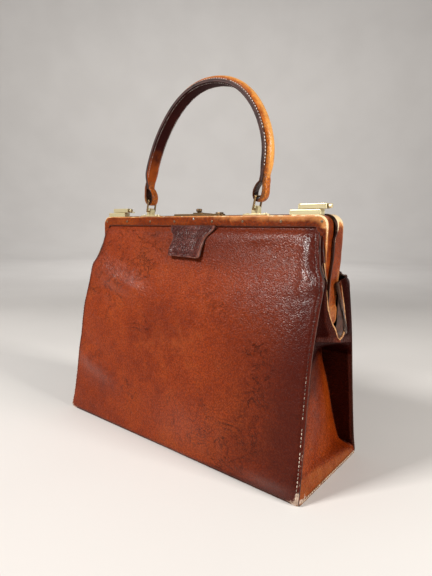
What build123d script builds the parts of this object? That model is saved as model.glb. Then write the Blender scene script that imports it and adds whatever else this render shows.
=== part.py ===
from build123d import *
import math
import os

os.makedirs("parts", exist_ok=True)

# ---------------------------------------------------------------------------
# Leather frame handbag. Millimetres, +Z up. Origin: centre of the base, on the
# surface the bag stands on. X runs along the bag, -Y is the front.
# ---------------------------------------------------------------------------

# body
BASE_L = 300.0            # base length (X)
BASE_D = 115.3            # base depth (Y)
BASE_T = 2.4              # base leather
BOARD_T = 2.0             # stiffener board
HIDE_T = 2.3              # panel leather, measured along Y
GUSSET_T = 2.0            # gusset leather
LINING_T = 0.8
SKIN_GAP = 0.12           # clearance between soft solids
# outer face of the front panel, (Y, Z), floor to frame
PANEL_YZ = [(-57.65, 2.5), (-54.3, 22), (-50.2, 50), (-46.4, 80), (-41.2, 115),
            (-34.6, 142), (-25.6, 171), (-19.6, 190), (-14.4, 208.0), (-9.95, 213.4), (-9.95, 221.5)]
# right half of the panel's outline, (X, Z)
PANEL_XZ = [(150.0, 2.5), (148.6, 50), (147.6, 110), (147.9, 164), (147.2, 170.5),
            (144.6, 175.6), (141.6, 180.5), (135.5, 213.6), (135.5, 221.5)]
# gusset: (Z, outer X at the seams, outer X at the centre crease)
GUSSET_LEVELS = [(2.52, 149.7, 149.7), (18, 148.6, 147.9), (56, 148.2, 147.6), (81, 147.7, 143.5),
                 (106, 147.5, 137.6), (112, 147.6, 137.6), (118.5, 149.5, 149.7), (172, 149.5, 149.7)]
V_TIP = (3.0, 121.0)      # lowest point of the gusset's V shaped hem (Y, Z)
V_FRONT = [(-9.4, 137.6), (-16.6, 152.5), (-22.2, 172.5)]
V_REAR = [(10.5, 131.0), (14.6, 145.0), (18.5, 158.0), (22.2, 172.5)]

# the two frames
COVER_T = 1.1             # leather over the steel
STEEL_T = 1.1
F_HALF = 142.7            # front frame, outer half length over the leather
F_TOP = 224.0
F_LOW = 213.8             # lower edge of the frame's face
F_FRONT = -12.2           # face of the front frame
F_BACK = -0.6
F_RAD = 9.0               # outer corner radius
R_HALF = 145.6            # rear frame
R_TOP = 225.0
R_LOW = 214.6
R_FRONT = 0.6
R_BACK = 13.2
R_RAD = 10.5
FLANGE_H = 9.1            # steel face flange, top bar
HINGE_Y, HINGE_Z = -2.5, 141.0
LUG_R = 6.5
RIVET_R = 2.0
RUN = 0.05                # running clearance, radial
NAIL_X = [-136.5, -100.5, -62.5, -26.0, 24.0, 60.0, 100.0, 137.5]
NAIL_Z = 218.5
NAIL_R = 0.6
NAIL_HEAD_R = 1.15

# handle
YC = -4.5                 # plane of the handle
EYE_X = 69.5
EYE_Z = 229.5
WIRE_R = 1.0
RING_H = 11.8             # between the centres of the ring's two bars
RING_W = 11.0             # between the centres of the prongs
RING_LEAN = 12.0          # degrees towards +X at rest
STRAP_W = 16.0
LOOP_W = 8.6
LOOP_R = 4.6
PLATE_L = 28.0
PLATE_W = 7.4
# centre line of the strap, (X, Z), between the loops
STRAP_XZ = [(-69.6, 254.0), (-69.0, 265.0), (-65.9, 277.0), (-61.2, 288.6), (-55.6, 299.9), (-48.6, 311.0),
            (-40.3, 321.6), (-31.0, 331.0), (-20.9, 338.6), (-9.4, 344.4), (4.4, 347.9), (18.8, 348.1),
            (32.6, 345.5), (44.4, 340.6), (54.6, 333.4), (63.6, 323.6), (70.8, 312.4), (75.7, 301.0),
            (78.7, 290.0), (79.8, 279.0), (79.0, 268.0), (77.1, 258.6), (75.6, 254.0)]

# catches
CATCH_X = 121.0           # centre of each base
CATCH_Y = -6.5
CATCH_L, CATCH_W, CATCH_H = 28.5, 8.0, 4.4
SLIDER_L, SLIDER_H = 26.0, 4.3
CATCH_TRAVEL = 6.0        # rest is released, -6 is locked
STUD_Y = 6.4
# lock
LOCK_Y = -6.4
LOCK_X0, LOCK_X1 = -30.0, 34.0
LOCK_T = 2.0
LOCK_KNOB_X = 2.6
LOCK_TRAVEL = 5.0
LOCK_STUD_X = -5.4


# ---------------------------------------------------------------------------
# helpers
# ---------------------------------------------------------------------------
def poly(points3):
    return Face(Wire.make_polygon([Vector(*p) for p in points3], close=True))


def prism_x(yz, x0, x1):
    return Solid.extrude(poly([(x0, y, z) for y, z in yz]), Vector(x1 - x0, 0, 0))


def prism_y(xz, y0, y1):
    return Solid.extrude(poly([(x, y0, z) for x, z in xz]), Vector(0, y1 - y0, 0))


def prism_z(xy, z0, z1):
    return Solid.extrude(poly([(x, y, z0) for x, y in xy]), Vector(0, 0, z1 - z0))


def block(x0, x1, y0, y1, z0, z1):
    return prism_z([(x0, y0), (x1, y0), (x1, y1), (x0, y1)], z0, z1)


def rod(p, d, r, length):
    pl = Plane(origin=Vector(*p), z_dir=Vector(*d))
    return Solid.make_cylinder(r, length, pl)


def ball(p, r):
    return Pos(*p) * Solid.make_sphere(r)


def one(shape):
    s = shape.solids()
    s.sort(key=lambda q: -q.volume)
    return s


def soften(solid, r, pick=None):
    edges = pick(solid) if pick else solid.edges()
    for rr in (r, r * 0.6):
        try:
            out = solid.fillet(rr, edges)
            if out.is_valid and out.volume > 0.5 * solid.volume:
                return out
        except Exception:
            pass
    return solid


def save(name, shape):
    sol = shape.solids() if hasattr(shape, "solids") else shape
    item = sol[0] if len(sol) == 1 else Compound(children=list(sol))
    export_step(item, "parts/%s.step" % name)
    print(name, len(sol), round(sum(s.volume for s in sol), 1))


def mirror_x(shape):
    return shape.mirror(Plane.YZ)


# ---------------------------------------------------------------------------
# soft body
# ---------------------------------------------------------------------------
half_l, half_d = BASE_L / 2, BASE_D / 2
base_panel = block(-half_l, half_l, -half_d, half_d, 0, BASE_T)
base_panel = base_panel.fillet(3.0, base_panel.edges().filter_by(Axis.Z))
save("base_panel", base_panel)

board_z0 = BASE_T + 0.05
board = block(-half_l + 5, half_l - 5, -half_d + 4.2, half_d - 4.2, board_z0, board_z0 + BOARD_T)
board = board.fillet(4.0, board.edges().filter_by(Axis.Z))
save("base_board", board)

outline = PANEL_XZ + [(-x, z) for x, z in reversed(PANEL_XZ)]
shape_mask = prism_y(outline, -80, 80)
front_sheet = prism_x(PANEL_YZ + [(y + HIDE_T, z) for y, z in reversed(PANEL_YZ)], -half_l, half_l)
front_panel = (front_sheet & shape_mask).solids()[0]
rear_yz = [(-y, z) for y, z in PANEL_YZ]
rear_sheet = prism_x(rear_yz + [(y - HIDE_T, z) for y, z in reversed(rear_yz)], -half_l, half_l)
rear_panel = (rear_sheet & shape_mask).solids()[0]


def panel_y(z):
    pts = PANEL_YZ
    for (ya, za), (yb, zb) in zip(pts, pts[1:]):
        if za <= z <= zb and zb > za:
            return ya + (yb - ya) * (z - za) / (zb - za)
    return pts[-1][0]


def gusset_section(z, xs, xc):
    y = -panel_y(z) - HIDE_T - SKIN_GAP
    t = GUSSET_T
    return Wire.make_polygon([Vector(xs, -y, z), Vector(xc, 0, z), Vector(xs, y, z),
                              Vector(xs - t, y, z), Vector(xc - t, 0, z), Vector(xs - t, -y, z)], close=True)


levels = []
for (za, sa, ca), (zb, sb, cb) in zip(GUSSET_LEVELS, GUSSET_LEVELS[1:]):
    levels.append((za, sa, ca))
    for zm in (22, 50, 80, 115, 142):
        if za + 0.5 < zm < zb - 0.5:
            f = (zm - za) / (zb - za)
            levels.append((zm, sa + (sb - sa) * f, ca + (cb - ca) * f))
levels.append(GUSSET_LEVELS[-1])
levels.sort()
gusset = None
for a, b in zip(levels, levels[1:]):
    part = Solid.make_loft([gusset_section(*a), gusset_section(*b)], ruled=True)
    gusset = part if gusset is None else gusset + part
v_cut = prism_x([V_TIP] + V_REAR + [(22.2, 240), (-22.2, 240)] + list(reversed(V_FRONT)), 120, 160)
gusset = (gusset - v_cut).solids()
gusset.sort(key=lambda q: -q.volume)
gusset = gusset[0]
save("right_gusset", gusset)
save("left_gusset", mirror_x(gusset))

# lining: one strip down the front, over the board and up the rear
lin_top = 212.6
lin_low = board_z0 + BOARD_T + 0.05
front_in = [(panel_y(z) + HIDE_T + SKIN_GAP, z) for z in
            [lin_top] + [q[1] for q in reversed(PANEL_YZ) if lin_low + 2 < q[1] < lin_top - 1] + [lin_low]]
rear_in = [(-y, z) for y, z in reversed(front_in)]
outer_u = front_in + rear_in
inner_u = [(y + (LINING_T if y < 0 else -LINING_T), z if z > lin_low + 1 else lin_low + LINING_T) for y, z in outer_u]
lining = prism_x(outer_u + list(reversed(inner_u)), -132.5, 132.5)
save("lining", lining)


# ---------------------------------------------------------------------------
# frames
# ---------------------------------------------------------------------------
def u_outline(half, top, rad, low):
    """closed inverted U area, from the low level up, with two rounded upper corners"""
    n = 8
    pts = [(half, low)]
    for i in range(n + 1):
        a = math.pi / 2 * i / n
        pts.append((half - rad + rad * math.cos(a), top - rad + rad * math.sin(a)))
    for i in range(n + 1):
        a = math.pi / 2 + math.pi / 2 * i / n
        pts.append((-half + rad + rad * math.cos(a), top - rad + rad * math.sin(a)))
    pts.append((-half, low))
    return pts


def u_area(half, top, rad, low, y0, y1):
    """the same area with true arcs, extruded along Y"""
    k = math.sqrt(0.5) * rad
    v = lambda x, z: Vector(x, y0, z)
    e = [Edge.make_line(v(half, low), v(half, top - rad)),
         Edge.make_three_point_arc(v(half, top - rad), v(half - rad + k, top - rad + k), v(half - rad, top)),
         Edge.make_line(v(half - rad, top), v(-half + rad, top)),
         Edge.make_three_point_arc(v(-half + rad, top), v(-half + rad - k, top - rad + k), v(-half, top - rad)),
         Edge.make_line(v(-half, top - rad), v(-half, low)),
         Edge.make_line(v(-half, low), v(half, low))]
    return Solid.extrude(Face(Wire(e)), Vector(0, y1 - y0, 0))


def band(half, top, rad, t, low, y0, y1):
    return u_area(half, top, rad, low, y0, y1) - u_area(half - t, top - t, rad - t, low - 5, y0 - 1, y1 + 1)


def lug_profile(front_edge, rear_edge, z_end):
    """side view of a leg: front edge and rear edge from top to bottom, closed by a round lug"""
    pts = list(front_edge)
    if z_end is None:
        a0, a1 = math.radians(168), math.radians(372)
        for i in range(13):
            a = a0 + (a1 - a0) * i / 12
            pts.append((HINGE_Y + LUG_R * math.cos(a), HINGE_Z + LUG_R * math.sin(a)))
    return pts + list(reversed(rear_edge))


def face_flange(half, top, low_bar, rad, y0, y1, leg_low=186.0, tip=1.6, inner_x=132.4):
    """face of the frame: the bar and two legs that narrow to a point"""
    area = u_area(half, top, rad, leg_low, y0, y1)
    cut = prism_y([(inner_x, low_bar), (half - tip, leg_low + 2), (half - tip, leg_low - 10), (-half + tip, leg_low - 10),
                   (-half + tip, leg_low + 2), (-inner_x, low_bar)], y0 - 1, y1 + 1)
    return area - cut


# front frame steel: top and side band plus the face flange
fs_half, fs_top, fs_rad = F_HALF - COVER_T, F_TOP - COVER_T, F_RAD - COVER_T
fs_front = F_FRONT + COVER_T
front_leg_yz = lug_profile([(fs_front, 240), (fs_front, 186), (-9.6, 158), (-9.0, 145)],
                           [(F_BACK - 0.3, 240), (F_BACK - 0.3, 190), (2.6, 160), (4.0, 144)], None)
front_band = band(fs_half, fs_top, fs_rad, STEEL_T, 120, -20, 20) & prism_x(front_leg_yz, -160, 160)
front_face = face_flange(fs_half, fs_top, F_LOW + 0.4, fs_rad, fs_front, fs_front + STEEL_T, 188, 1.6, 132.6)
front_frame = front_band + front_face
# front cover: the same wrap one leather thickness further out
fc_leg = [(F_FRONT, 240), (F_FRONT, 186), (-10.2, 158), (-9.6, 149.5), (3.4, 149.5), (2.9, 160), (F_BACK, 190), (F_BACK, 240)]
cover_band = band(F_HALF, F_TOP, F_RAD, COVER_T, 120, -20, 20) & prism_x(fc_leg, -160, 160)
cover_face = face_flange(F_HALF, F_TOP, F_LOW, F_RAD, F_FRONT, F_FRONT + COVER_T, 187, 1.6, 132.4)
front_cover = cover_band + cover_face
front_cover = front_cover - u_area(fs_half + 0.02, fs_top + 0.02, fs_rad + 0.02, 100, fs_front - 0.02, 30)

# rear frame, a little larger, its legs outside the front frame's
rs_half, rs_top, rs_rad = R_HALF - COVER_T, R_TOP - COVER_T, R_RAD - COVER_T
rs_back = R_BACK - COVER_T
rear_leg_yz = lug_profile([(R_FRONT + 0.3, 240), (R_FRONT + 0.3, 209), (-2.6, 205), (-3.6, 190), (-8.0, 167), (-9.0, 147)],
                          [(rs_back, 240), (rs_back, 205), (10.2, 188), (6.6, 169), (4.2, 155), (4.0, 144)], None)
rear_band = band(rs_half, rs_top, rs_rad, STEEL_T, 120, -20, 20) & prism_x(rear_leg_yz, -160, 160)
rear_face = face_flange(rs_half, rs_top, R_LOW + 0.4, rs_rad, rs_back - STEEL_T, rs_back, 188, 1.6, 133.0)
rear_frame = rear_band + rear_face
rc_leg = [(R_FRONT, 240), (R_FRONT, 209.3), (-3.0, 205.3), (-4.0, 190), (-8.6, 167), (-9.6, 149.5), (4.4, 149.5),
          (4.7, 155), (7.2, 169), (11.0, 188), (R_BACK, 205), (R_BACK, 240)]
rc_band = band(R_HALF, R_TOP, R_RAD, COVER_T, 120, -20, 20) & prism_x(rc_leg, -160, 160)
rc_face = face_flange(R_HALF, R_TOP, R_LOW, R_RAD, R_BACK - COVER_T, R_BACK, 187, 1.6, 132.8)
rear_cover = rc_band + rc_face
rear_cover = rear_cover - u_area(rs_half + 0.02, rs_top + 0.02, rs_rad + 0.02, 100, -30, rs_back + 0.02)

# the panels' upper corners are trimmed to pass the frame faces
front_trim = face_flange(F_HALF + 0.3, F_TOP, F_LOW - 0.3, F_RAD, F_FRONT - 0.3, -9.97, 186.4, 1.9, 132.1)
rear_trim = face_flange(R_HALF + 0.3, R_TOP, R_LOW - 0.3, R_RAD, 9.97, R_BACK + 0.35, 186.4, 1.9, 132.4)
front_panel = one(front_panel - front_trim)[0]
rear_panel = one(rear_panel - rear_trim)[0]
save("front_panel", front_panel)
save("rear_panel", rear_panel)

# hinge rivets, holes and washers
hole_root = RIVET_R + 0.02
hole_rear = RIVET_R + RUN
for side in (-1, 1):
    front_frame = front_frame - rod((side * 130, HINGE_Y, HINGE_Z), (side, 0, 0), hole_root, 12.2)
    rear_frame = rear_frame - rod((side * 142.9, HINGE_Y, HINGE_Z), (side, 0, 0), hole_rear, 6)
x_fi = fs_half - STEEL_T            # inner face of the front leg
x_fo = fs_half
x_ri = rs_half - STEEL_T
x_ro = rs_half
rivet = rod((x_fi - 1.3, HINGE_Y, HINGE_Z), (1, 0, 0), RIVET_R, (x_ro + 1.25) - (x_fi - 1.3))
rivet = rivet + rod((x_fi - 1.3, HINGE_Y, HINGE_Z), (1, 0, 0), 4.0, 1.25)
rivet = rivet + rod((x_ro + 0.1, HINGE_Y, HINGE_Z), (1, 0, 0), 4.0, 1.15)
rivet = rivet.solids()[0]
rivet = soften(rivet, 0.45, lambda s: s.edges().filter_by(GeomType.CIRCLE).sort_by(Axis.X)[-2:-1] + s.edges().filter_by(GeomType.CIRCLE).sort_by(Axis.X)[-1:])
washer = rod((x_fo + 0.05, HINGE_Y, HINGE_Z), (1, 0, 0), 4.6, (x_ri - x_fo) - 0.15) - rod((x_fo - 1, HINGE_Y, HINGE_Z), (1, 0, 0), RIVET_R + 0.03, 10)
washer = washer.solids()[0]
save("right_hinge_rivet", rivet)
save("left_hinge_rivet", mirror_x(rivet))
save("right_hinge_washer", washer)
save("left_hinge_washer", mirror_x(washer))

# frame nails: domed heads on the face, short shanks through leather and steel
front_nails, rear_nails = [], []
for nx in NAIL_X:
    sh = rod((nx, F_FRONT - 0.05, NAIL_Z), (0, 1, 0), NAIL_R, COVER_T + STEEL_T + 0.05)
    hd = rod((nx, F_FRONT - 0.55, NAIL_Z), (0, 1, 0), NAIL_HEAD_R, 0.54)
    nail = (sh + hd).solids()[0]
    nail = soften(nail, 0.3, lambda s: s.edges().filter_by(GeomType.CIRCLE).sort_by(Axis.Y)[:1])
    front_nails.append(nail)
    sh = rod((nx, R_BACK + 0.05, NAIL_Z + 1), (0, -1, 0), NAIL_R, COVER_T + STEEL_T + 0.05)
    hd = rod((nx, R_BACK + 0.55, NAIL_Z + 1), (0, -1, 0), NAIL_HEAD_R, 0.54)
    nail = (sh + hd).solids()[0]
    nail = soften(nail, 0.3, lambda s: s.edges().filter_by(GeomType.CIRCLE).sort_by(Axis.Y)[-1:])
    rear_nails.append(nail)
    hole = rod((nx, F_FRONT - 2, NAIL_Z), (0, 1, 0), NAIL_R + 0.02, 5)
    front_frame, front_cover = front_frame - hole, front_cover - hole
    hole = rod((nx, R_BACK + 2, NAIL_Z + 1), (0, -1, 0), NAIL_R + 0.02, 5)
    rear_frame, rear_cover = rear_frame - hole, rear_cover - hole
save("front_frame_nails", Compound(children=front_nails))
save("rear_frame_nails", Compound(children=rear_nails))
# a brighter rivet just above the centre of the front face
face_rivet = (rod((0.5, F_FRONT - 0.6, 221.2), (0, 1, 0), 1.3, 0.58) + rod((0.5, F_FRONT - 0.1, 221.2), (0, 1, 0), 0.7, 2.2)).solids()[0]
face_rivet = soften(face_rivet, 0.35, lambda s: s.edges().filter_by(GeomType.CIRCLE).sort_by(Axis.Y)[:1])
hole = rod((0.5, F_FRONT - 2, 221.2), (0, 1, 0), 0.72, 5)
front_frame, front_cover = front_frame - hole, front_cover - hole
save("face_rivet", face_rivet)

# ---------------------------------------------------------------------------
# catches: base block with an undercut slot, slider with a T rail and a hook
# ---------------------------------------------------------------------------
def catch_base(cx):
    b = block(cx - CATCH_L / 2, cx + CATCH_L / 2, CATCH_Y - CATCH_W / 2, CATCH_Y + CATCH_W / 2, F_TOP, F_TOP + CATCH_H)
    b = soften(b, 0.7, lambda s: s.edges().filter_by(Axis.Z) + s.edges().group_by(Axis.Z)[-1])
    z1 = F_TOP + CATCH_H
    x0, x1 = cx - 11.2, cx + 11.2
    b = b - block(x0, x1, CATCH_Y - 1.5, CATCH_Y + 1.5, z1 - 1.3, z1 + 1)
    b = b - block(x0, x1, CATCH_Y - 2.5, CATCH_Y + 2.5, z1 - 3.3, z1 - 1.2)
    return b.solids()[0]


def catch_slider(cx):
    z0 = F_TOP + CATCH_H + 0.5
    z1 = z0 + SLIDER_H
    sx0 = cx - 7.3                      # the slider's -X end at rest
    sx1 = sx0 + SLIDER_L
    b = block(sx0, sx1, CATCH_Y - CATCH_W / 2, CATCH_Y + CATCH_W / 2, z0, z1)
    vert = b.edges().filter_by(Axis.Z).sort_by(Axis.X)
    b = b.fillet(3.2, vert[:2])
    b = b.fillet(1.0, b.edges().filter_by(Axis.Z).sort_by(Axis.X)[-2:])
    b = soften(b, 0.8, lambda s: s.edges().group_by(Axis.Z)[-1])
    # hook over the stud on the rear frame
    hx0 = cx - 3.0 + 2.7
    hook = block(hx0, hx0 + 10.0, CATCH_Y + 2, STUD_Y + 3.0, z0 + 0.25, z0 + 1.45)
    hook = hook.fillet(1.4, hook.edges().filter_by(Axis.Z).sort_by(Axis.Y)[-2:])
    slot = block(hx0 - 1, cx - 3.0 + CATCH_TRAVEL, STUD_Y - 1.4, STUD_Y + 1.4, z0 - 1, z0 + 3)
    slot = slot + rod((cx - 3.0 + CATCH_TRAVEL, STUD_Y, z0 - 1), (0, 0, 1), 1.4, 4)
    b = b + (hook - slot)
    # rail
    rx = cx + CATCH_TRAVEL / 2
    zb = F_TOP + CATCH_H
    b = b + block(rx - 8.0, rx + 8.0, CATCH_Y - 1.4, CATCH_Y + 1.4, zb - 1.5, z0 + 0.4)
    b = b + block(rx - 8.0, rx + 8.0, CATCH_Y - 2.4, CATCH_Y + 2.4, zb - 3.1, zb - 1.45)
    # knob at the +X end on a short neck
    zk = z0 + SLIDER_H / 2
    b = b + rod((sx1 - 0.5, CATCH_Y, zk), (1, 0, 0), 1.0, 2.2)
    knob = rod((sx1 + 1.0, CATCH_Y, zk), (1, 0, 0), 1.9, 2.6)
    knob = soften(knob, 0.7)
    b = b + knob
    return b.solids()[0]


def stud(cx):
    zt = F_TOP + CATCH_H + 0.5 + 1.45
    s = rod((cx - 3.0, STUD_Y, rs_top - STEEL_T), (0, 0, 1), 1.2, zt + 1.2 - (rs_top - STEEL_T))
    s = s + rod((cx - 3.0, STUD_Y, R_TOP + 0.01), (0, 0, 1), 2.6, 1.2)
    head = rod((cx - 3.0, STUD_Y, zt + 0.2), (0, 0, 1), 2.2, 1.2)
    head = soften(head, 0.4, lambda q: q.edges().group_by(Axis.Z)[-1])
    return (s + head).solids()[0]


for name, cx in (("left", -CATCH_X), ("right", CATCH_X)):
    save("%s_catch_base" % name, catch_base(cx))
    save("%s_catch_slider" % name, catch_slider(cx))
    save("%s_catch_stud" % name, stud(cx))
    hole = rod((cx - 3.0, STUD_Y, R_TOP - 4), (0, 0, 1), 1.22, 8)
    rear_frame, rear_cover = rear_frame - hole, rear_cover - hole

# ---------------------------------------------------------------------------
# centre lock
# ---------------------------------------------------------------------------
lz0, lz1 = F_TOP, F_TOP + LOCK_T
plate = block(LOCK_X0, LOCK_X1, LOCK_Y - 4.2, LOCK_Y + 4.2, lz0, lz1)
plate = plate.fillet(3.6, plate.edges().filter_by(Axis.Z))
plate = soften(plate, 0.35, lambda s: s.edges().group_by(Axis.Z)[-1])
sx0, sx1 = LOCK_KNOB_X - LOCK_TRAVEL - 1.25, LOCK_KNOB_X + 1.25
plate = plate - block(sx0, sx1, LOCK_Y - 1.2, LOCK_Y + 1.2, lz0 - 1, lz1 + 1)
plate = plate - block(sx0 - 1.1, sx1 + 1.1, LOCK_Y - 2.3, LOCK_Y + 2.3, lz0 - 1, lz0 + 1.1)
save("lock_plate", plate.solids()[0])
hz0, hz1 = lz1 + 0.15, lz1 + 1.15
hook_x0 = LOCK_STUD_X + 2.3
hook = block(hook_x0, hook_x0 + 11.0, LOCK_Y - 3.4, STUD_Y + 2.4, hz0, hz1)
hook = hook.fillet(1.2, hook.edges().filter_by(Axis.Z))
slot = block(hook_x0 - 1, LOCK_STUD_X + LOCK_TRAVEL, STUD_Y - 1.2, STUD_Y + 1.2, hz0 - 1, hz1 + 1)
slot = slot + rod((LOCK_STUD_X + LOCK_TRAVEL, STUD_Y, hz0 - 1), (0, 0, 1), 1.2, 3.2)
lock_slide = hook - slot
lock_slide = lock_slide + block(LOCK_KNOB_X - 1.05, LOCK_KNOB_X + 1.05, LOCK_Y - 1.05, LOCK_Y + 1.05, lz0 + 0.3, hz0 + 0.3)
lock_slide = lock_slide + block(LOCK_KNOB_X - 2.0, LOCK_KNOB_X + 2.0, LOCK_Y - 2.0, LOCK_Y + 2.0, lz0 + 0.15, lz0 + 0.95)
knob = rod((LOCK_KNOB_X, LOCK_Y, hz1 - 0.1), (0, 0, 1), 1.9, 1.2)
cap = soften(rod((LOCK_KNOB_X, LOCK_Y, hz1 + 0.9), (0, 0, 1), 3.0, 3.1), 1.1)
lock_slide = (lock_slide + knob + cap).solids()[0]
save("lock_slide", lock_slide)
boss = rod((28.6, LOCK_Y, lz1 + 0.01), (0, 0, 1), 3.0, 1.3)
boss = Solid.extrude(Face(Wire(Edge.make_ellipse(4.3, 2.9, Plane(origin=(28.6, LOCK_Y, lz1 + 0.01))))), Vector(0, 0, 1.35))
boss = soften(boss, 0.5, lambda s: s.edges().group_by(Axis.Z)[-1])
save("lock_boss", boss)
lock_stud = rod((LOCK_STUD_X, STUD_Y, rs_top - STEEL_T), (0, 0, 1), 1.0, hz1 + 1.0 - (rs_top - STEEL_T))
lock_stud = lock_stud + rod((LOCK_STUD_X, STUD_Y, R_TOP + 0.01), (0, 0, 1), 2.2, 0.7)
head = soften(rod((LOCK_STUD_X, STUD_Y, hz1 + 0.2), (0, 0, 1), 1.8, 1.0), 0.35, lambda q: q.edges().group_by(Axis.Z)[-1])
lock_stud = (lock_stud + head).solids()[0]
save("lock_stud", lock_stud)
hole = rod((LOCK_STUD_X, STUD_Y, R_TOP - 4), (0, 0, 1), 1.02, 8)
rear_frame, rear_cover = rear_frame - hole, rear_cover - hole

save("front_frame", front_frame)
save("front_frame_cover", front_cover)
save("rear_frame", rear_frame)
save("rear_frame_cover", rear_cover)

# ---------------------------------------------------------------------------
# leather pull tab under the centre of the front frame
# ---------------------------------------------------------------------------
tab_yz = [(-14.4, 213.4), (-14.9, 211.6), (-17.0, 208), (-19.6, 200), (-23.6, 192), (-26.4, 184.5)]
tab_sheet = prism_x(tab_yz + [(y + 2.0, z) for y, z in reversed(tab_yz)], -40, 40)
tab_mask = prism_y([(-29.5, 214), (-28.6, 209.5), (-21.6, 204.6), (-21.2, 184.0), (20.2, 184.0), (19.4, 197.5),
                    (21.6, 204.6), (27.6, 209.5), (29.5, 214)], -40, 0)
save("pull_tab", (tab_sheet & tab_mask).solids()[0])

# ---------------------------------------------------------------------------
# handle: eye plates, wire rings, padded strap
# ---------------------------------------------------------------------------
def eye_plate(cx):
    p = block(cx - PLATE_L / 2, cx + PLATE_L / 2, YC - PLATE_W / 2, YC + PLATE_W / 2, F_TOP, F_TOP + 1.5)
    p = p.fillet(3.4, p.edges().filter_by(Axis.Z))
    p = soften(p, 0.4, lambda s: s.edges().group_by(Axis.Z)[-1])
    e = block(cx - 3.6, cx + 3.6, YC - 2.6, YC + 2.6, F_TOP + 1.2, EYE_Z)
    e = e + rod((cx, YC - 2.6, EYE_Z), (0, 1, 0), 3.6, 5.2)
    p = p + e
    p = p - rod((cx, YC - 10, EYE_Z), (0, 1, 0), WIRE_R + RUN, 20)
    # two rivet heads on the plate
    for s in (-1, 1):
        p = p + soften(rod((cx + s * 9.6, YC, F_TOP + 1.4), (0, 0, 1), 1.6, 0.8), 0.35, lambda q: q.edges().group_by(Axis.Z)[-1])
    return p.solids()[0]


def ring(cx):
    lean = math.radians(RING_LEAN)
    dx, dz = RING_H * math.sin(lean), RING_H * math.cos(lean)
    h = RING_W / 2
    r = rod((cx, YC - h, EYE_Z), (0, 1, 0), WIRE_R, RING_W)
    r = r + rod((cx + dx, YC - h, EYE_Z + dz), (0, 1, 0), WIRE_R, RING_W)
    for s in (-1, 1):
        r = r + rod((cx, YC + s * h, EYE_Z), (dx, 0, dz), WIRE_R, RING_H)
        r = r + ball((cx, YC + s * h, EYE_Z), WIRE_R) + ball((cx + dx, YC + s * h, EYE_Z + dz), WIRE_R)
    return r.solids()[0]


for name, cx in (("left", -EYE_X), ("right", EYE_X)):
    save("%s_handle_plate" % name, eye_plate(cx))
    save("%s_handle_ring" % name, ring(cx))

lean = math.radians(RING_LEAN)
bar_dx, bar_z = RING_H * math.sin(lean), EYE_Z + RING_H * math.cos(lean)
L_BAR, R_BAR = (-EYE_X + bar_dx, bar_z), (EYE_X + bar_dx, bar_z)


def offset_line(pts, d):
    """points moved to the outer side of the arch by d"""
    out = []
    for i, (x, z) in enumerate(pts):
        a, b = pts[max(0, i - 1)], pts[min(len(pts) - 1, i + 1)]
        tx, tz = b[0] - a[0], b[1] - a[1]
        n = math.hypot(tx, tz)
        out.append((x - tz / n * d, z + tx / n * d))
    return out


def strap_layer(d0, d1, y0, y1):
    lo, hi = offset_line(STRAP_XZ, d0), offset_line(STRAP_XZ, d1)
    v = lambda p: Vector(p[0], y0, p[1])
    e = [Edge.make_spline([v(p) for p in lo]), Edge.make_line(v(lo[-1]), v(hi[-1])),
         Edge.make_spline([v(p) for p in reversed(hi)]), Edge.make_line(v(hi[0]), v(lo[0]))]
    return Solid.extrude(Face(Wire(e)), Vector(0, y1 - y0, 0))


hw = STRAP_W / 2
outer = strap_layer(0.0, 1.6, YC - hw, YC + hw) + strap_layer(1.5, 5.6, YC - 5.4, YC + 5.4)
inner = strap_layer(-2.4, -0.02, YC - hw, YC + hw)


def loop(bar, end, hole_r):
    """neck from the strap's end down to the bar, with a round eye"""
    ex, ez = end
    bx, bz = bar
    tx, tz = ex - bx, ez - bz
    n = math.hypot(tx, tz)
    nx, nz = -tz / n, tx / n
    up = 2.5
    q = [(bx + nx * 3.6, bz + nz * 3.6), (bx - nx * 3.6, bz - nz * 3.6),
         (ex + tx / n * up - nx * 2.4, ez + tz / n * up - nz * 2.4), (ex + tx / n * up + nx * 2.4, ez + tz / n * up + nz * 2.4)]
    s = prism_y(q, YC - LOOP_W / 2, YC + LOOP_W / 2) + rod((bx, YC - LOOP_W / 2, bz), (0, 1, 0), LOOP_R, LOOP_W)
    return s, rod((bx, YC - LOOP_W, bz), (0, 1, 0), hole_r, LOOP_W * 2)


loop_l, hole_l = loop(L_BAR, STRAP_XZ[0], WIRE_R + RUN)
loop_r, hole_r = loop(R_BAR, STRAP_XZ[-1], WIRE_R + 0.6)
outer = ((outer + loop_l + loop_r) - hole_l - hole_r).solids()[0]
inner = (inner - loop_l - loop_r).solids()
inner.sort(key=lambda q: -q.volume)
inner = inner[0]
save("handle_outer", outer)
save("handle_inner", inner)
print("left bar", L_BAR, "right bar", R_BAR)
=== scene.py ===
import math
import random

import bmesh
import bpy
import numpy as np
from mathutils import Matrix, Vector, noise


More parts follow.
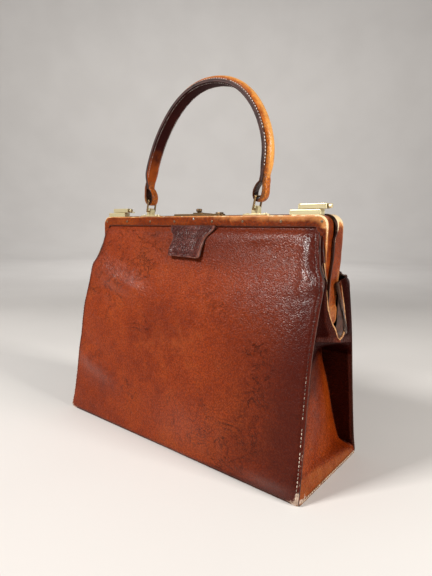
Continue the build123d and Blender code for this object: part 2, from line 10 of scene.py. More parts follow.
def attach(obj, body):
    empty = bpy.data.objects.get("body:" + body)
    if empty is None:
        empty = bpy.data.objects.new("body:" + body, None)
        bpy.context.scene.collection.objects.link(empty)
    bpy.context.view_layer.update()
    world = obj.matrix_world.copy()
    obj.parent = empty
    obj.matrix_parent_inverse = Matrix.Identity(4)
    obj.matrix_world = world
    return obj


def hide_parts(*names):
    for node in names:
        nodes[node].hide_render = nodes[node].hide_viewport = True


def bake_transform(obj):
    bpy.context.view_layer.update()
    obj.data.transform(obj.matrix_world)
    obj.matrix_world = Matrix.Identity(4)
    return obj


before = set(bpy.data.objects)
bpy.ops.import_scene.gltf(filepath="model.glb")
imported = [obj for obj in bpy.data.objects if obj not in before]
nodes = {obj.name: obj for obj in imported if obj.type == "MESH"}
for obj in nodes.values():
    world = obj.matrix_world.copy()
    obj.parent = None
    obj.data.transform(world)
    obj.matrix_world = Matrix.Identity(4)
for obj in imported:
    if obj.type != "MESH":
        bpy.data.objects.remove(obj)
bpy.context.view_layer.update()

MM = 0.001

# ---------------------------------------------------------------------------
# sizes shared with the CAD model, in millimetres
# ---------------------------------------------------------------------------
HALF_L, HALF_D, BASE_T = 150.0, 57.65, 2.4
PANEL_YZ = [(57.65, 2.5), (54.3, 22), (50.2, 50), (46.4, 80), (41.2, 115), (34.6, 142), (25.6, 171),
            (19.6, 190), (14.4, 208.0), (10.3, 213.6), (9.95, 221.5)]
PANEL_XZ = [(150.0, 2.5), (148.6, 50), (147.6, 110), (147.9, 164), (147.2, 170.5), (144.6, 175.6),
            (141.6, 180.5), (135.5, 213.6), (134.9, 221.5)]
HIDE_T = 2.3
YC = -4.5
L_BAR, R_BAR = (-67.0466, 241.0421), (71.9534, 241.0421)
STRAP_XZ = [(-69.6, 254.0), (-69.0, 265.0), (-65.9, 277.0), (-61.2, 288.6), (-55.6, 299.9), (-48.6, 311.0),
            (-40.3, 321.6), (-31.0, 331.0), (-20.9, 338.6), (-9.4, 344.4), (4.4, 347.9), (18.8, 348.1),
            (32.6, 345.5), (44.4, 340.6), (54.6, 333.4), (63.6, 323.6), (70.8, 312.4), (75.7, 301.0),
            (78.7, 290.0), (79.8, 279.0), (79.0, 268.0), (77.1, 258.6), (75.6, 254.0)]


# ---------------------------------------------------------------------------
# curves and noise
# ---------------------------------------------------------------------------
def mono(points):
    """smooth curve through (value, key) points that never overshoots"""
    p = sorted((float(k), float(v)) for v, k in points)
    x, y = np.array([a for a, b in p]), np.array([b for a, b in p])
    h = np.diff(x)
    s = np.diff(y) / h
    m = np.zeros(len(x))
    m[0], m[-1] = s[0], s[-1]
    for i in range(1, len(x) - 1):
        if s[i - 1] * s[i] > 0:
            w1, w2 = 2 * h[i] + h[i - 1], h[i] + 2 * h[i - 1]
            m[i] = (w1 + w2) / (w1 / s[i - 1] + w2 / s[i])

    def f(q):
        q = np.clip(np.asarray(q, float), x[0], x[-1])
        i = np.clip(np.searchsorted(x, q, side="right") - 1, 0, len(h) - 1)
        t = (q - x[i]) / h[i]
        return ((1 + 2 * t) * (1 - t) ** 2 * y[i] + t * (1 - t) ** 2 * h[i] * m[i]
                + t * t * (3 - 2 * t) * y[i + 1] + t * t * (t - 1) * h[i] * m[i + 1])
    return f


def smooth(a, b, x):
    t = np.clip((np.asarray(x, float) - a) / (b - a), 0, 1)
    return t * t * (3 - 2 * t)


def gauss(x, w):
    return np.exp(-(np.asarray(x, float) / w) ** 2)


def wander(x, y, z, size, seed, octaves=3):
    """smooth noise, about -1 to 1, for arrays of points in mm"""
    shape = np.broadcast(x, y, z).shape
    a = np.broadcast_to(x, shape).ravel() / size + seed * 17.31
    b = np.broadcast_to(y, shape).ravel() / size - seed * 5.7
    c = np.broadcast_to(z, shape).ravel() / size + seed * 3.3
    out = np.empty(a.size)
    for i in range(a.size):
        v, k, g = 0.0, 1.0, 1.0
        for _ in range(octaves):
            v += g * noise.noise(Vector((a[i] * k, b[i] * k, c[i] * k)))
            k, g = k * 2.03, g * 0.5
        out[i] = v
    return out.reshape(shape)


def crease(x, z, line, width):
    """closeness (0 to 1) to a polyline of (x, z) points, fading at both ends"""
    best = np.zeros(np.broadcast(x, z).shape)
    length = [0.0]
    for (ax, az), (bx, bz) in zip(line, line[1:]):
        length.append(length[-1] + math.hypot(bx - ax, bz - az))
    total = length[-1]
    for i, ((ax, az), (bx, bz)) in enumerate(zip(line, line[1:])):
        dx, dz = bx - ax, bz - az
        q = dx * dx + dz * dz
        t = np.clip(((x - ax) * dx + (z - az) * dz) / q, 0, 1)
        d = np.hypot(x - ax - t * dx, z - az - t * dz)
        along = (length[i] + t * math.sqrt(q)) / total
        fade = np.clip(np.minimum(along, 1 - along) * 3.0, 0, 1)
        best = np.maximum(best, np.exp(-(d / width) ** 2) * (0.15 + 0.85 * fade))
    return best


# ---------------------------------------------------------------------------
# mesh builders
# ---------------------------------------------------------------------------
def make_object(name, verts, faces, mats, face_mat=None, attrs=None, smooth_angle=None):
    me = bpy.data.meshes.new(name)
    me.from_pydata([tuple(v) for v in np.asarray(verts, float) * MM], [], faces)
    me.update()
    for m in mats:
        me.materials.append(m)
    if face_mat is not None:
        me.polygons.foreach_set("material_index", np.asarray(face_mat, np.int32))
    for key, values in (attrs or {}).items():
        a = me.attributes.new(key, "FLOAT", "POINT")
        a.data.foreach_set("value", np.asarray(values, np.float32))
    bm = bmesh.new()
    bm.from_mesh(me)
    bmesh.ops.recalc_face_normals(bm, faces=bm.faces)
    bm.to_mesh(me)
    bm.free()
    me.polygons.foreach_set("use_smooth", [True] * len(me.polygons))
    ob = bpy.data.objects.new(name, me)
    bpy.context.scene.collection.objects.link(ob)
    if smooth_angle:
        me.set_sharp_from_angle(angle=math.radians(smooth_angle))
    return ob


def grid_normals(p):
    du = np.gradient(p, axis=0)
    dv = np.gradient(p, axis=1)
    n = np.cross(du, dv)
    return n / np.maximum(np.linalg.norm(n, axis=2, keepdims=True), 1e-9)


def sheet_solid(name, outer, inner, mats, attrs=None, bulge=0.4, rim_mat=2, inner_mat=1):
    """closed sheet between two point grids, with a rounded rim. attrs hold values on the outer grid."""
    nu, nv = outer.shape[:2]
    n = nu * nv
    idx = np.arange(n).reshape(nu, nv)
    loop = ([(i, 0) for i in range(nu)] + [(nu - 1, j) for j in range(1, nv)]
            + [(i, nv - 1) for i in range(nu - 2, -1, -1)] + [(0, j) for j in range(nv - 2, 0, -1)])
    verts = [outer.reshape(-1, 3), inner.reshape(-1, 3)]
    rim = []
    for i, j in loop:
        a, b = outer[i, j], inner[i, j]
        ii, jj = min(max(i, 1), nu - 2), min(max(j, 1), nv - 2)
        out = outer[i, j] - outer[ii, jj]
        th = b - a
        ln = np.linalg.norm(th)
        if ln > 1e-6:
            out = out - th * (out @ th) / ln ** 2
        out = out / max(np.linalg.norm(out), 1e-6)
        rim.append([a + 0.2 * th + out * bulge * 0.75, a + 0.5 * th + out * bulge, a + 0.8 * th + out * bulge * 0.75])
    rim = np.array(rim)
    verts.append(rim.reshape(-1, 3))
    faces, fm = [], []
    for i in range(nu - 1):
        for j in range(nv - 1):
            faces.append((idx[i, j], idx[i + 1, j], idx[i + 1, j + 1], idx[i, j + 1]))
            fm.append(0)
            faces.append((n + idx[i, j], n + idx[i, j + 1], n + idx[i + 1, j + 1], n + idx[i + 1, j]))
            fm.append(inner_mat)
    m = len(loop)
    for k in range(m):
        k2 = (k + 1) % m
        rings = [[idx[loop[q]], 2 * n + 3 * q, 2 * n + 3 * q + 1, 2 * n + 3 * q + 2, n + idx[loop[q]]] for q in (k, k2)]
        for s in range(4):
            faces.append((rings[0][s], rings[1][s], rings[1][s + 1], rings[0][s + 1]))
            fm.append(rim_mat)
    faces = [tuple(int(v) for v in f) for f in faces]
    data = {}
    for key, val in (attrs or {}).items():
        flat = np.asarray(val, float).reshape(-1)
        data[key] = np.concatenate([flat, flat, np.repeat([flat[idx[q]] for q in loop], 3)])
    return make_object(name, np.concatenate(verts), faces, mats, fm, data)


def tube_sweep(name, centres, frames_n, section, mats, face_mat=None, attrs=None, closed=False, caps=True):
    """centres: (m, 3); frames_n: (m, 3) normals in the sweep's plane (X, Z); section: (m, k, 2) of (across Y, along normal)"""
    m, k = section.shape[:2]
    verts = np.zeros((m, k, 3))
    for i in range(m):
        verts[i] = centres[i] + section[i][:, :1] * np.array([0.0, 1.0, 0.0]) + section[i][:, 1:] * frames_n[i]
    faces, fm = [], []
    for i in range(m if closed else m - 1):
        i2 = (i + 1) % m
        for j in range(k):
            j2 = (j + 1) % k
            faces.append((i * k + j, i * k + j2, i2 * k + j2, i2 * k + j))
            fm.append(face_mat[j] if face_mat is not None else 0)
    if caps and not closed:
        faces.append(tuple(range(k)))
        faces.append(tuple(reversed([(m - 1) * k + j for j in range(k)])))
        fm += [0, 0]
    data = {key: np.asarray(val, float).reshape(-1) for key, val in (attrs or {}).items()}
    return make_object(name, verts.reshape(-1, 3), faces, mats, fm, data)


def stitch_row(points, normals, length=2.3, pitch=3.1, radius=0.27, seed=1, lift=0.12, skip=0.0, tilt=6.0, tone=None):
    """small sewn stitches along a dense polyline. Returns vertices, faces and a tone for each vertex."""
    rng = random.Random(seed)
    p = np.asarray(points, float)
    nn = np.asarray(normals, float)
    seg = np.linalg.norm(np.diff(p, axis=0), axis=1)
    s = np.concatenate([[0], np.cumsum(seg)])
    verts, faces, tones = [], [], []
    at = pitch * 0.5
    rows, sides = 5, 6
    while at + length < s[-1]:
        keep = rng.random() >= skip
        wob = rng.uniform(-0.12, 0.12)
        shade = rng.random() if tone is None else tone(at / s[-1], rng)
        ang = math.radians(rng.uniform(-tilt, tilt))
        if keep:
            q = [at + wob + length * t for t in np.linspace(0, 1, rows)]
            c = np.array([[np.interp(v, s, p[:, a]) for a in range(3)] for v in q])
            nr = np.array([[np.interp(v, s, nn[:, a]) for a in range(3)] for v in q])
            nr /= np.maximum(np.linalg.norm(nr, axis=1, keepdims=True), 1e-9)
            d = c[-1] - c[0]
            d /= max(np.linalg.norm(d), 1e-9)
            side = np.cross(d, nr[2])
            side /= max(np.linalg.norm(side), 1e-9)
            base = len(verts)
            for r in range(rows):
                t = r / (rows - 1)
                rise = lift + radius * 0.9 * math.sin(math.pi * t) ** 0.6 - radius * (1.5 if r in (0, rows - 1) else 0)
                rad = radius * (0.45 if r in (0, rows - 1) else 1.0)
                centre = c[r] + nr[r] * rise + side * math.sin(ang) * (t - 0.5) * length
                for a in range(sides):
                    th = 2 * math.pi * a / sides
                    verts.append(centre + side * rad * math.cos(th) + nr[r] * rad * math.sin(th) * 0.8)
                    tones.append(shade)
            for r in range(rows - 1):
                for a in range(sides):
                    b = (a + 1) % sides
                    faces.append((base + r * sides + a, base + r * sides + b, base + (r + 1) * sides + b, base + (r + 1) * sides + a))
            faces.append(tuple(base + a for a in range(sides)))
            faces.append(tuple(base + (rows - 1) * sides + a for a in reversed(range(sides))))
        at += pitch
    return verts, faces, tones


def stitch_object(name, rows, mat):
    verts, faces, tones = [], [], []
    for v, f, t in rows:
        b = len(verts)
        verts += list(v)
        faces += [tuple(i + b for i in q) for q in f]
        tones += t
    return make_object(name, np.array(verts), faces, [mat], None, {"tone": tones})


# ---------------------------------------------------------------------------
# materials
# ---------------------------------------------------------------------------
class Mat:
    """small helper that adds nodes to one material"""

    def __init__(self, name):
        self.m = bpy.data.materials.new(name)
        self.m.use_nodes = True
        self.t = self.m.node_tree
        self.t.nodes.clear()
        self.out = self.t.nodes.new("ShaderNodeOutputMaterial")
        self.p = self.t.nodes.new("ShaderNodeBsdfPrincipled")
        self.t.links.new(self.p.outputs["BSDF"], self.out.inputs["Surface"])
        self.coord = self.t.nodes.new("ShaderNodeTexCoord").outputs["Object"]

    def put(self, socket, value):
        s = self.p.inputs[socket]
        if isinstance(value, bpy.types.NodeSocket):
            self.t.links.new(value, s)
        else:
            s.default_value = value

    def node(self, kind, **inputs):
        n = self.t.nodes.new(kind)
        for key, value in inputs.items():
            if isinstance(value, bpy.types.NodeSocket):
                self.t.links.new(value, n.inputs[key])
            else:
                n.inputs[key].default_value = value
        return n

    def scaled(self, sx, sy, sz):
        n = self.t.nodes.new("ShaderNodeMapping")
        self.t.links.new(self.coord, n.inputs["Vector"])
        n.inputs["Scale"].default_value = (sx, sy, sz)
        return n.outputs["Vector"]

    def noise(self, scale, detail=4.0, rough=0.55, distort=0.0, vec=None):
        n = self.t.nodes.new("ShaderNodeTexNoise")
        self.t.links.new(vec or self.coord, n.inputs["Vector"])
        n.inputs["Scale"].default_value = scale
        n.inputs["Detail"].default_value = detail
        n.inputs["Roughness"].default_value = rough
        n.inputs["Distortion"].default_value = distort
        return n.outputs["Fac"]

    def cells(self, scale, feature="F1", vec=None, smoothness=0.4, randomness=1.0):
        n = self.t.nodes.new("ShaderNodeTexVoronoi")
        n.feature = feature
        self.t.links.new(vec or self.coord, n.inputs["Vector"])
        n.inputs["Scale"].default_value = scale
        n.inputs["Randomness"].default_value = randomness
        if feature == "SMOOTH_F1":
            n.inputs["Smoothness"].default_value = smoothness
        return n.outputs["Distance"]

    def warp(self, amount, scale):
        """object coordinates pushed about by noise"""
        n = self.t.nodes.new("ShaderNodeTexNoise")
        self.t.links.new(self.coord, n.inputs["Vector"])
        n.inputs["Scale"].default_value = scale
        n.inputs["Detail"].default_value = 2.0
        v = self.t.nodes.new("ShaderNodeVectorMath")
        v.operation = "MULTIPLY_ADD"
        self.t.links.new(n.outputs["Color"], v.inputs[0])
        v.inputs[1].default_value = (amount,) * 3
        self.t.links.new(self.coord, v.inputs[2])
        return v.outputs["Vector"]

    def math(self, op, a, b=0.0, c=0.0, clamp=False):
        n = self.t.nodes.new("ShaderNodeMath")
        n.operation = op
        n.use_clamp = clamp
        for i, v in enumerate((a, b, c)):
            if isinstance(v, bpy.types.NodeSocket):
                self.t.links.new(v, n.inputs[i])
            else:
                n.inputs[i].default_value = v
        return n.outputs[0]

    def ramp(self, fac, stops, mode="LINEAR"):
        n = self.t.nodes.new("ShaderNodeValToRGB")
        n.color_ramp.interpolation = mode
        e = n.color_ramp.elements
        while len(e) < len(stops):
            e.new(0.5)
        for el, (pos, col) in zip(e, stops):
            el.position = pos
            el.color = (*col, 1.0) if hasattr(col, "__len__") else (col, col, col, 1.0)
        self.t.links.new(fac, n.inputs["Fac"])
        return n.outputs["Color"]

    def span(self, fac, a, b, lo=0.0, hi=1.0):
        n = self.t.nodes.new("ShaderNodeMapRange")
        n.interpolation_type = "SMOOTHSTEP"
        self.t.links.new(fac, n.inputs["Value"])
        n.inputs["From Min"].default_value = a
        n.inputs["From Max"].default_value = b
        n.inputs["To Min"].default_value = lo
        n.inputs["To Max"].default_value = hi
        return n.outputs["Result"]

    def mix(self, fac, a, b, mode="MIX"):
        n = self.t.nodes.new("ShaderNodeMix")
        n.data_type = "RGBA"
        n.blend_type = mode
        for key, v in (("Factor", fac), ("A", a), ("B", b)):
            s = [q for q in n.inputs if q.name == key and (q.type == "RGBA" or key == "Factor") and q.enabled][0]
            if isinstance(v, bpy.types.NodeSocket):
                self.t.links.new(v, s)
            elif key == "Factor":
                s.default_value = v
            else:
                s.default_value = (*v, 1.0)
        return [q for q in n.outputs if q.type == "RGBA"][0]

    def attr(self, name):
        n = self.t.nodes.new("ShaderNodeAttribute")
        n.attribute_type = "GEOMETRY"
        n.attribute_name = name
        return n.outputs["Fac"]

    def bump(self, layers, finish="Normal"):
        """layers of (height socket, distance in metres, strength)"""
        last = None
        for height, distance, strength in layers:
            n = self.t.nodes.new("ShaderNodeBump")
            self.t.links.new(height, n.inputs["Height"])
            n.inputs["Distance"].default_value = distance
            n.inputs["Strength"].default_value = strength
            if last is not None:
                self.t.links.new(last, n.inputs["Normal"])
            last = n.outputs["Normal"]
        self.put(finish, last)
        return last


def leather(name, deep, main, light, worn, rough=(0.34, 0.5), grain=820.0, grain_depth=0.00016, pebble=0.7,
            coat=0.25, mottle=14.0, shade_and_dirt_tone=(0.03, 0.008, 0.006), streak=None, wear_gain=1.0, fine=0.5, cracks=0.5,
            scuff=(0.62, 0.47, 0.38), patches=0.5, gloss=0.24, pits=0.5, polished=False, painted_shadow_tone=None):
    """grained hide: three tones mottled at two scales, painted shade and dirt from the dark attribute, painted
    highlights from the light attribute, rubbed places from the wear attribute
    """
    m = Mat(name)
    warped = m.warp(0.0035, 210.0)
    big = m.noise(mottle, 5.0, 0.6, 0.4)
    mid = m.noise(mottle * 5.5, 5.0, 0.62, 0.3)
    small = m.noise(grain * 0.55, 3.0, 0.6)
    tone = m.math("MULTIPLY_ADD", big, 0.62, m.math("MULTIPLY", mid, 0.38))
    base = m.ramp(tone, [(0.33, deep), (0.5, main), (0.66, light)])
    # darker flecks settle in the grain
    peb = m.cells(grain, "SMOOTH_F1", warped, 0.25)
    peb2 = m.cells(grain * 2.1, "F1", warped)
    pit = m.span(peb, 0.33, 0.62)
    base = m.mix(m.math("MULTIPLY", pit, pits), base, tuple(c * 0.40 for c in deep))
    fleck = m.span(small, 0.56, 0.72)
    base = m.mix(m.math("MULTIPLY", fleck, 0.22 * patches * 2), base, tuple(c * 0.6 for c in deep))
    # painted shade and dirt: the dark attribute (painted shadows, falloff and crease shade, plus seam grime) pulls the
    # colour towards a near-black tone
    dark = m.attr("dark")
    dark_noise = m.span(m.math("MULTIPLY_ADD", mid, 0.42, m.math("MULTIPLY_ADD", small, 0.16, dark)), 0.34, 1.18)
    base = m.mix(m.math("MULTIPLY", dark_noise, 0.88), base, shade_and_dirt_tone)
    # painted shadow: where the dark attribute is deepest the colour goes nearly black
    if painted_shadow_tone:
        base = m.mix(m.math("MULTIPLY", m.span(dark, 1.10, 1.26), 0.8), base, painted_shadow_tone)
    # painted light: the light attribute pulls the colour towards the worn tone; mostly painted highlights and lit
    # faces, on the frame edges also rubbed wear
    lit = m.attr("light")
    base = m.mix(m.math("MULTIPLY", m.span(m.math("MULTIPLY_ADD", mid, 0.8, lit), 0.55, 1.3), 0.85), base, worn)
    # scuffed to the raw hide
    wear = m.attr("wear")
    rub = m.noise(190.0, 6.0, 0.72)
    bare = m.span(m.math("MULTIPLY_ADD", rub, 1.5, wear), 1.22, 1.42)
    base = m.mix(m.math("MULTIPLY", bare, 0.9 * wear_gain), base, scuff)
    # thin age cracks
    lines = m.noise(46.0, 7.0, 0.62, 1.1)
    ridge = m.math("ABSOLUTE", m.math("SUBTRACT", lines, 0.5))
    crack = m.math("MULTIPLY", m.span(ridge, 0.0, 0.011, 1.0, 0.0), m.span(m.noise(17.0, 2.0), 0.5, 0.62))
    base = m.mix(m.math("MULTIPLY", crack, cracks), base, tuple(c * 0.25 for c in deep))
    m.put("Base Color", base)
    r = m.math("MULTIPLY_ADD", mid, rough[1] - rough[0], rough[0] - 0.02)
    r = m.math("MULTIPLY_ADD", pit, 0.10, r)
    r = m.math("MULTIPLY_ADD", m.attr("shine"), -0.12, r)
    r = m.math("MULTIPLY_ADD", bare, 0.28, r, clamp=True)
    m.put("Roughness", r)
    # painted shadow: the specular level drops where the dark attribute is deepest
    m.put("Specular IOR Level", m.span(dark, 0.95, 1.25, gloss, gloss * 0.1) if painted_shadow_tone else gloss)
    m.put("Coat Roughness", 0.20)
    height = m.math("ADD", m.math("MULTIPLY", peb, -pebble), m.math("MULTIPLY", peb2, -0.25))
    m.bump([
        (m.noise(34.0, 4.0, 0.55), 0.0016, 0.35),
        (m.math("MULTIPLY", crack, -1.0), 0.00035, cracks),
        (height, grain_depth, 1.0),
        (m.noise(2600.0, 3.0, 0.7), 0.00004, fine),
        (m.math("MULTIPLY", bare, rub), 0.0004, 0.6),
    ])
    if coat:
        # a thin polish that follows the grain less deeply
        m.put("Coat Weight", m.math("MULTIPLY_ADD", m.attr("shine"), 0.80, coat, clamp=True) if polished else coat)
        m.bump([(height, grain_depth * 0.50, 1.0), (m.noise(1500.0, 3.0, 0.7), 0.00008, 0.8)], "Coat Normal")
    return m.m


def raw_edge(name, tan, dark):
    m = Mat(name)
    n = m.noise(320.0, 6.0, 0.7)
    w = m.noise(70.0, 4.0, 0.6)
    m.put("Base Color", m.mix(m.span(w, 0.5, 0.68), m.ramp(n, [(0.35, dark), (0.62, tan)]), tuple(c * 0.8 for c in dark)))
    m.put("Roughness", m.span(n, 0.3, 0.7, 0.5, 0.85))
    m.bump([(n, 0.0003, 0.7), (m.noise(1500.0, 3.0, 0.7), 0.0001, 0.6)])
    return m.m


def suede(name, tone, dark):
    m = Mat(name)
    n = m.noise(120.0, 6.0, 0.7, 0.4)
    f = m.noise(1700.0, 4.0, 0.75)
    b = m.noise(30.0, 4.0, 0.6)
    col = m.ramp(m.math("MULTIPLY_ADD", n, 0.6, m.math("MULTIPLY", b, 0.4)), [(0.35, dark), (0.65, tone)])
    m.put("Base Color", m.mix(m.span(f, 0.45, 0.7), col, tuple(min(1, c * 1.35) for c in tone)))
    m.put("Roughness", m.span(n, 0.3, 0.7, 0.8, 0.96))
    m.put("Sheen Weight", 0.25)
    m.put("Sheen Roughness", 0.5)
    m.bump([(f, 0.0002, 0.8), (n, 0.0005, 0.5)])
    return m.m


def cloth(name, tone, dark):
    m = Mat(name)
    w = m.t.nodes.new("ShaderNodeTexWave")
    w.wave_type, w.bands_direction = "BANDS", "X"
    m.t.links.new(m.warp(0.0006, 90.0), w.inputs["Vector"])
    w.inputs["Scale"].default_value = 260.0
    w.inputs["Distortion"].default_value = 0.6
    h = m.t.nodes.new("ShaderNodeTexWave")
    h.wave_type, h.bands_direction = "BANDS", "Z"
    m.t.links.new(m.warp(0.0006, 90.0), h.inputs["Vector"])
    h.inputs["Scale"].default_value = 260.0
    h.inputs["Distortion"].default_value = 0.6
    weave = m.math("MULTIPLY", w.outputs["Fac"], h.outputs["Fac"])
    stain = m.noise(22.0, 5.0, 0.6)
    col = m.ramp(stain, [(0.35, dark), (0.62, tone)])
    m.put("Base Color", m.mix(m.span(weave, 0.1, 0.7), tuple(c * 0.6 for c in dark), col))
    m.put("Roughness", m.span(stain, 0.3, 0.7, 0.78, 0.92))
    m.put("Sheen Weight", 0.3)
    m.bump([(weave, 0.00025, 0.8), (m.noise(60.0, 4.0), 0.0015, 0.5)])
    return m.m


def metal(name, tone, tarnish, rough=(0.2, 0.42), cover=0.35, metallic=1.0, scratch=0.5, dirt=(0.1, 0.06, 0.03)):
    """worn plated metal: tarnish in patches, fine scratches, dirt where faces meet"""
    m = Mat(name)
    big = m.noise(130.0, 6.0, 0.65, 0.6)
    fine = m.noise(900.0, 4.0, 0.7)
    lines = m.noise(420.0, 3.0, 0.6, 0.0, m.scaled(0.6, 5.0, 5.0))
    spot = m.span(m.math("MULTIPLY_ADD", fine, 0.35, m.math("MULTIPLY", big, 0.65)), 0.62 - cover * 0.28, 0.74 - cover * 0.18)
    geo = m.t.nodes.new("ShaderNodeNewGeometry")
    hollow = m.span(geo.outputs["Pointiness"], 0.40, 0.495, 1.0, 0.0)
    edge = m.span(geo.outputs["Pointiness"], 0.515, 0.62)
    col = m.mix(m.math("MULTIPLY", spot, 0.75), tone, tarnish)
    col = m.mix(m.math("MULTIPLY", hollow, 0.75), col, dirt)
    col = m.mix(m.math("MULTIPLY", edge, 0.5), col, tuple(min(1.0, c * 1.15 + 0.03) for c in tone))
    m.put("Base Color", col)
    m.put("Metallic", metallic)
    r = m.math("MULTIPLY_ADD", lines, rough[1] - rough[0], rough[0] - 0.05)
    m.put("Roughness", m.math("MULTIPLY_ADD", spot, 0.22, r, clamp=True))
    m.bump([(lines, 0.00006, scratch), (big, 0.00025, 0.35), (fine, 0.00003, 0.5)])
    return m.m


def thread(name, dark, pale):
    m = Mat(name)
    t = m.attr("tone")
    n = m.noise(1400.0, 4.0, 0.7)
    col = m.mix(m.span(m.math("MULTIPLY_ADD", n, 0.3, t), 0.35, 1.05), dark, pale)
    m.put("Base Color", col)
    m.put("Roughness", m.span(n, 0.3, 0.7, 0.55, 0.8))
    m.bump([(n, 0.0001, 0.7)])
    return m.m


body_leather = leather("body_leather", (0.185, 0.021, 0.0040), (0.320, 0.044, 0.0060), (0.395, 0.066, 0.010), (0.47, 0.120, 0.034),
                       rough=(0.30, 0.42), grain=760.0, grain_depth=0.00060, coat=0.06, mottle=11.0, shade_and_dirt_tone=(0.052, 0.0042, 0.0020), gloss=0.10,
                       pits=0.46, patches=1.0, cracks=0.8, scuff=(0.56, 0.40, 0.30), polished=True)
rear_leather = leather("rear_leather", (0.170, 0.020, 0.0040), (0.290, 0.040, 0.0060), (0.360, 0.060, 0.010), (0.44, 0.11, 0.034),
                       rough=(0.31, 0.44), grain=760.0, grain_depth=0.00060, coat=0.06, mottle=12.0, shade_and_dirt_tone=(0.052, 0.0042, 0.0020), gloss=0.10,
                       pits=0.42, patches=1.0, cracks=0.6, polished=True)
gusset_leather = leather("gusset_leather", (0.120, 0.012, 0.0012), (0.255, 0.032, 0.0016), (0.350, 0.056, 0.004), (0.31, 0.085, 0.018),
                         rough=(0.34, 0.48), grain=600.0, grain_depth=0.00085, coat=0.01, mottle=16.0, cracks=0.2, patches=0.6,
                         shade_and_dirt_tone=(0.014, 0.0006, 0.0004), gloss=0.06, pits=0.5, polished=True, painted_shadow_tone=(0.010, 0.0008, 0.0006))
frame_leather = leather("frame_leather", (0.10, 0.012, 0.002), (0.25, 0.038, 0.004), (0.40, 0.080, 0.009), (0.68, 0.28, 0.085),
                        rough=(0.20, 0.34), grain=700.0, grain_depth=0.00032, coat=0.20, mottle=22.0, cracks=0.15, patches=0.8,
                        scuff=(0.90, 0.70, 0.42), shade_and_dirt_tone=(0.022, 0.003, 0.0012), gloss=0.14)
tab_leather = leather("tab_leather", (0.030, 0.005, 0.004), (0.080, 0.015, 0.011), (0.15, 0.038, 0.028), (0.36, 0.14, 0.10),
                      rough=(0.28, 0.44), grain=520.0, grain_depth=0.00075, coat=0.16, mottle=26.0, scuff=(0.60, 0.36, 0.24), gloss=0.08)
handle_leather = leather("handle_leather", (0.28, 0.047, 0.004), (0.52, 0.125, 0.010), (0.70, 0.22, 0.022), (0.88, 0.42, 0.10),
                         rough=(0.22, 0.36), grain=560.0, grain_depth=0.00055, coat=0.38, mottle=20.0, cracks=0.35, patches=0.7,
                         scuff=(0.52, 0.34, 0.20), shade_and_dirt_tone=(0.018, 0.004, 0.003), gloss=0.14)
# very dark copy of the handle leather: painted shade for the underside
handle_inner_leather = leather("handle_inner_leather", (0.022, 0.0016, 0.0012), (0.046, 0.0036, 0.0022), (0.080, 0.009, 0.004),
                               (0.40, 0.080, 0.010), rough=(0.5, 0.66), grain=900.0, grain_depth=0.00020, coat=0.0,
                               mottle=18.0, cracks=0.3, shade_and_dirt_tone=(0.014, 0.0012, 0.0010), gloss=0.08)
base_leather = leather("base_leather", (0.05, 0.014, 0.008), (0.11, 0.034, 0.017), (0.20, 0.08, 0.04), (0.40, 0.22, 0.12),
                       rough=(0.55, 0.75), grain=700.0, grain_depth=0.00020, coat=0.0, mottle=14.0, shade_and_dirt_tone=(0.02, 0.006, 0.004))
hem_leather = raw_edge("hem_leather", (0.66, 0.36, 0.15), (0.30, 0.11, 0.035))
tan_edge = raw_edge("tan_edge", (0.34, 0.17, 0.085), (0.10, 0.038, 0.018))
dark_edge = raw_edge("dark_edge", (0.105, 0.028, 0.013), (0.024, 0.006, 0.004))
# flesh side darkened as painted shade for the inside of the V
shaded_facing_hide = raw_edge("shaded_facing_hide", (0.085, 0.026, 0.011), (0.014, 0.003, 0.002))
grey_edge = raw_edge("grey_edge", (0.095, 0.040, 0.034), (0.022, 0.007, 0.006))
flesh_side = suede("flesh_side", (0.13, 0.050, 0.020), (0.045, 0.013, 0.006))
lining_cloth = cloth("lining_cloth", (0.30, 0.20, 0.12), (0.16, 0.10, 0.06))
pale_brass = metal("pale_brass", (0.93, 0.80, 0.48), (0.70, 0.52, 0.24), rough=(0.30, 0.46), cover=0.18, metallic=0.7)
aged_brass = metal("aged_brass", (0.42, 0.28, 0.14), (0.13, 0.075, 0.04), rough=(0.22, 0.42), cover=0.7)
dark_bronze = metal("dark_bronze", (0.33, 0.21, 0.11), (0.09, 0.055, 0.035), rough=(0.25, 0.5), cover=0.6)
nail_metal = metal("nail_metal", (0.36, 0.26, 0.17), (0.12, 0.07, 0.045), rough=(0.28, 0.45), cover=0.5)
bright_metal = metal("bright_metal", (0.93, 0.90, 0.84), (0.62, 0.55, 0.45), rough=(0.12, 0.25), cover=0.1)
frame_steel = metal("frame_steel", (0.090, 0.040, 0.020), (0.035, 0.015, 0.008), rough=(0.38, 0.55), cover=0.5, metallic=0.25)
seam_thread = thread("seam_thread", (0.060, 0.018, 0.012), (0.78, 0.64, 0.50))
edge_thread = thread("edge_thread", (0.24, 0.11, 0.05), (0.88, 0.76, 0.58))
handle_thread = thread("handle_thread", (0.20, 0.11, 0.09), (0.84, 0.76, 0.70))
bm_ = Mat("board")
n1 = bm_.noise(90.0, 6.0, 0.65)
bm_.put("Base Color", bm_.ramp(n1, [(0.3, (0.28, 0.20, 0.12)), (0.7, (0.48, 0.38, 0.26))]))
bm_.put("Roughness", bm_.span(n1, 0.3, 0.7, 0.7, 0.9))
bm_.bump([(bm_.noise(1200.0, 4.0, 0.7), 0.0002, 0.6)])
board_mat = bm_.m


# ---------------------------------------------------------------------------
# body: panels
# ---------------------------------------------------------------------------
depth = mono(PANEL_YZ)
half_w = mono(PANEL_XZ)


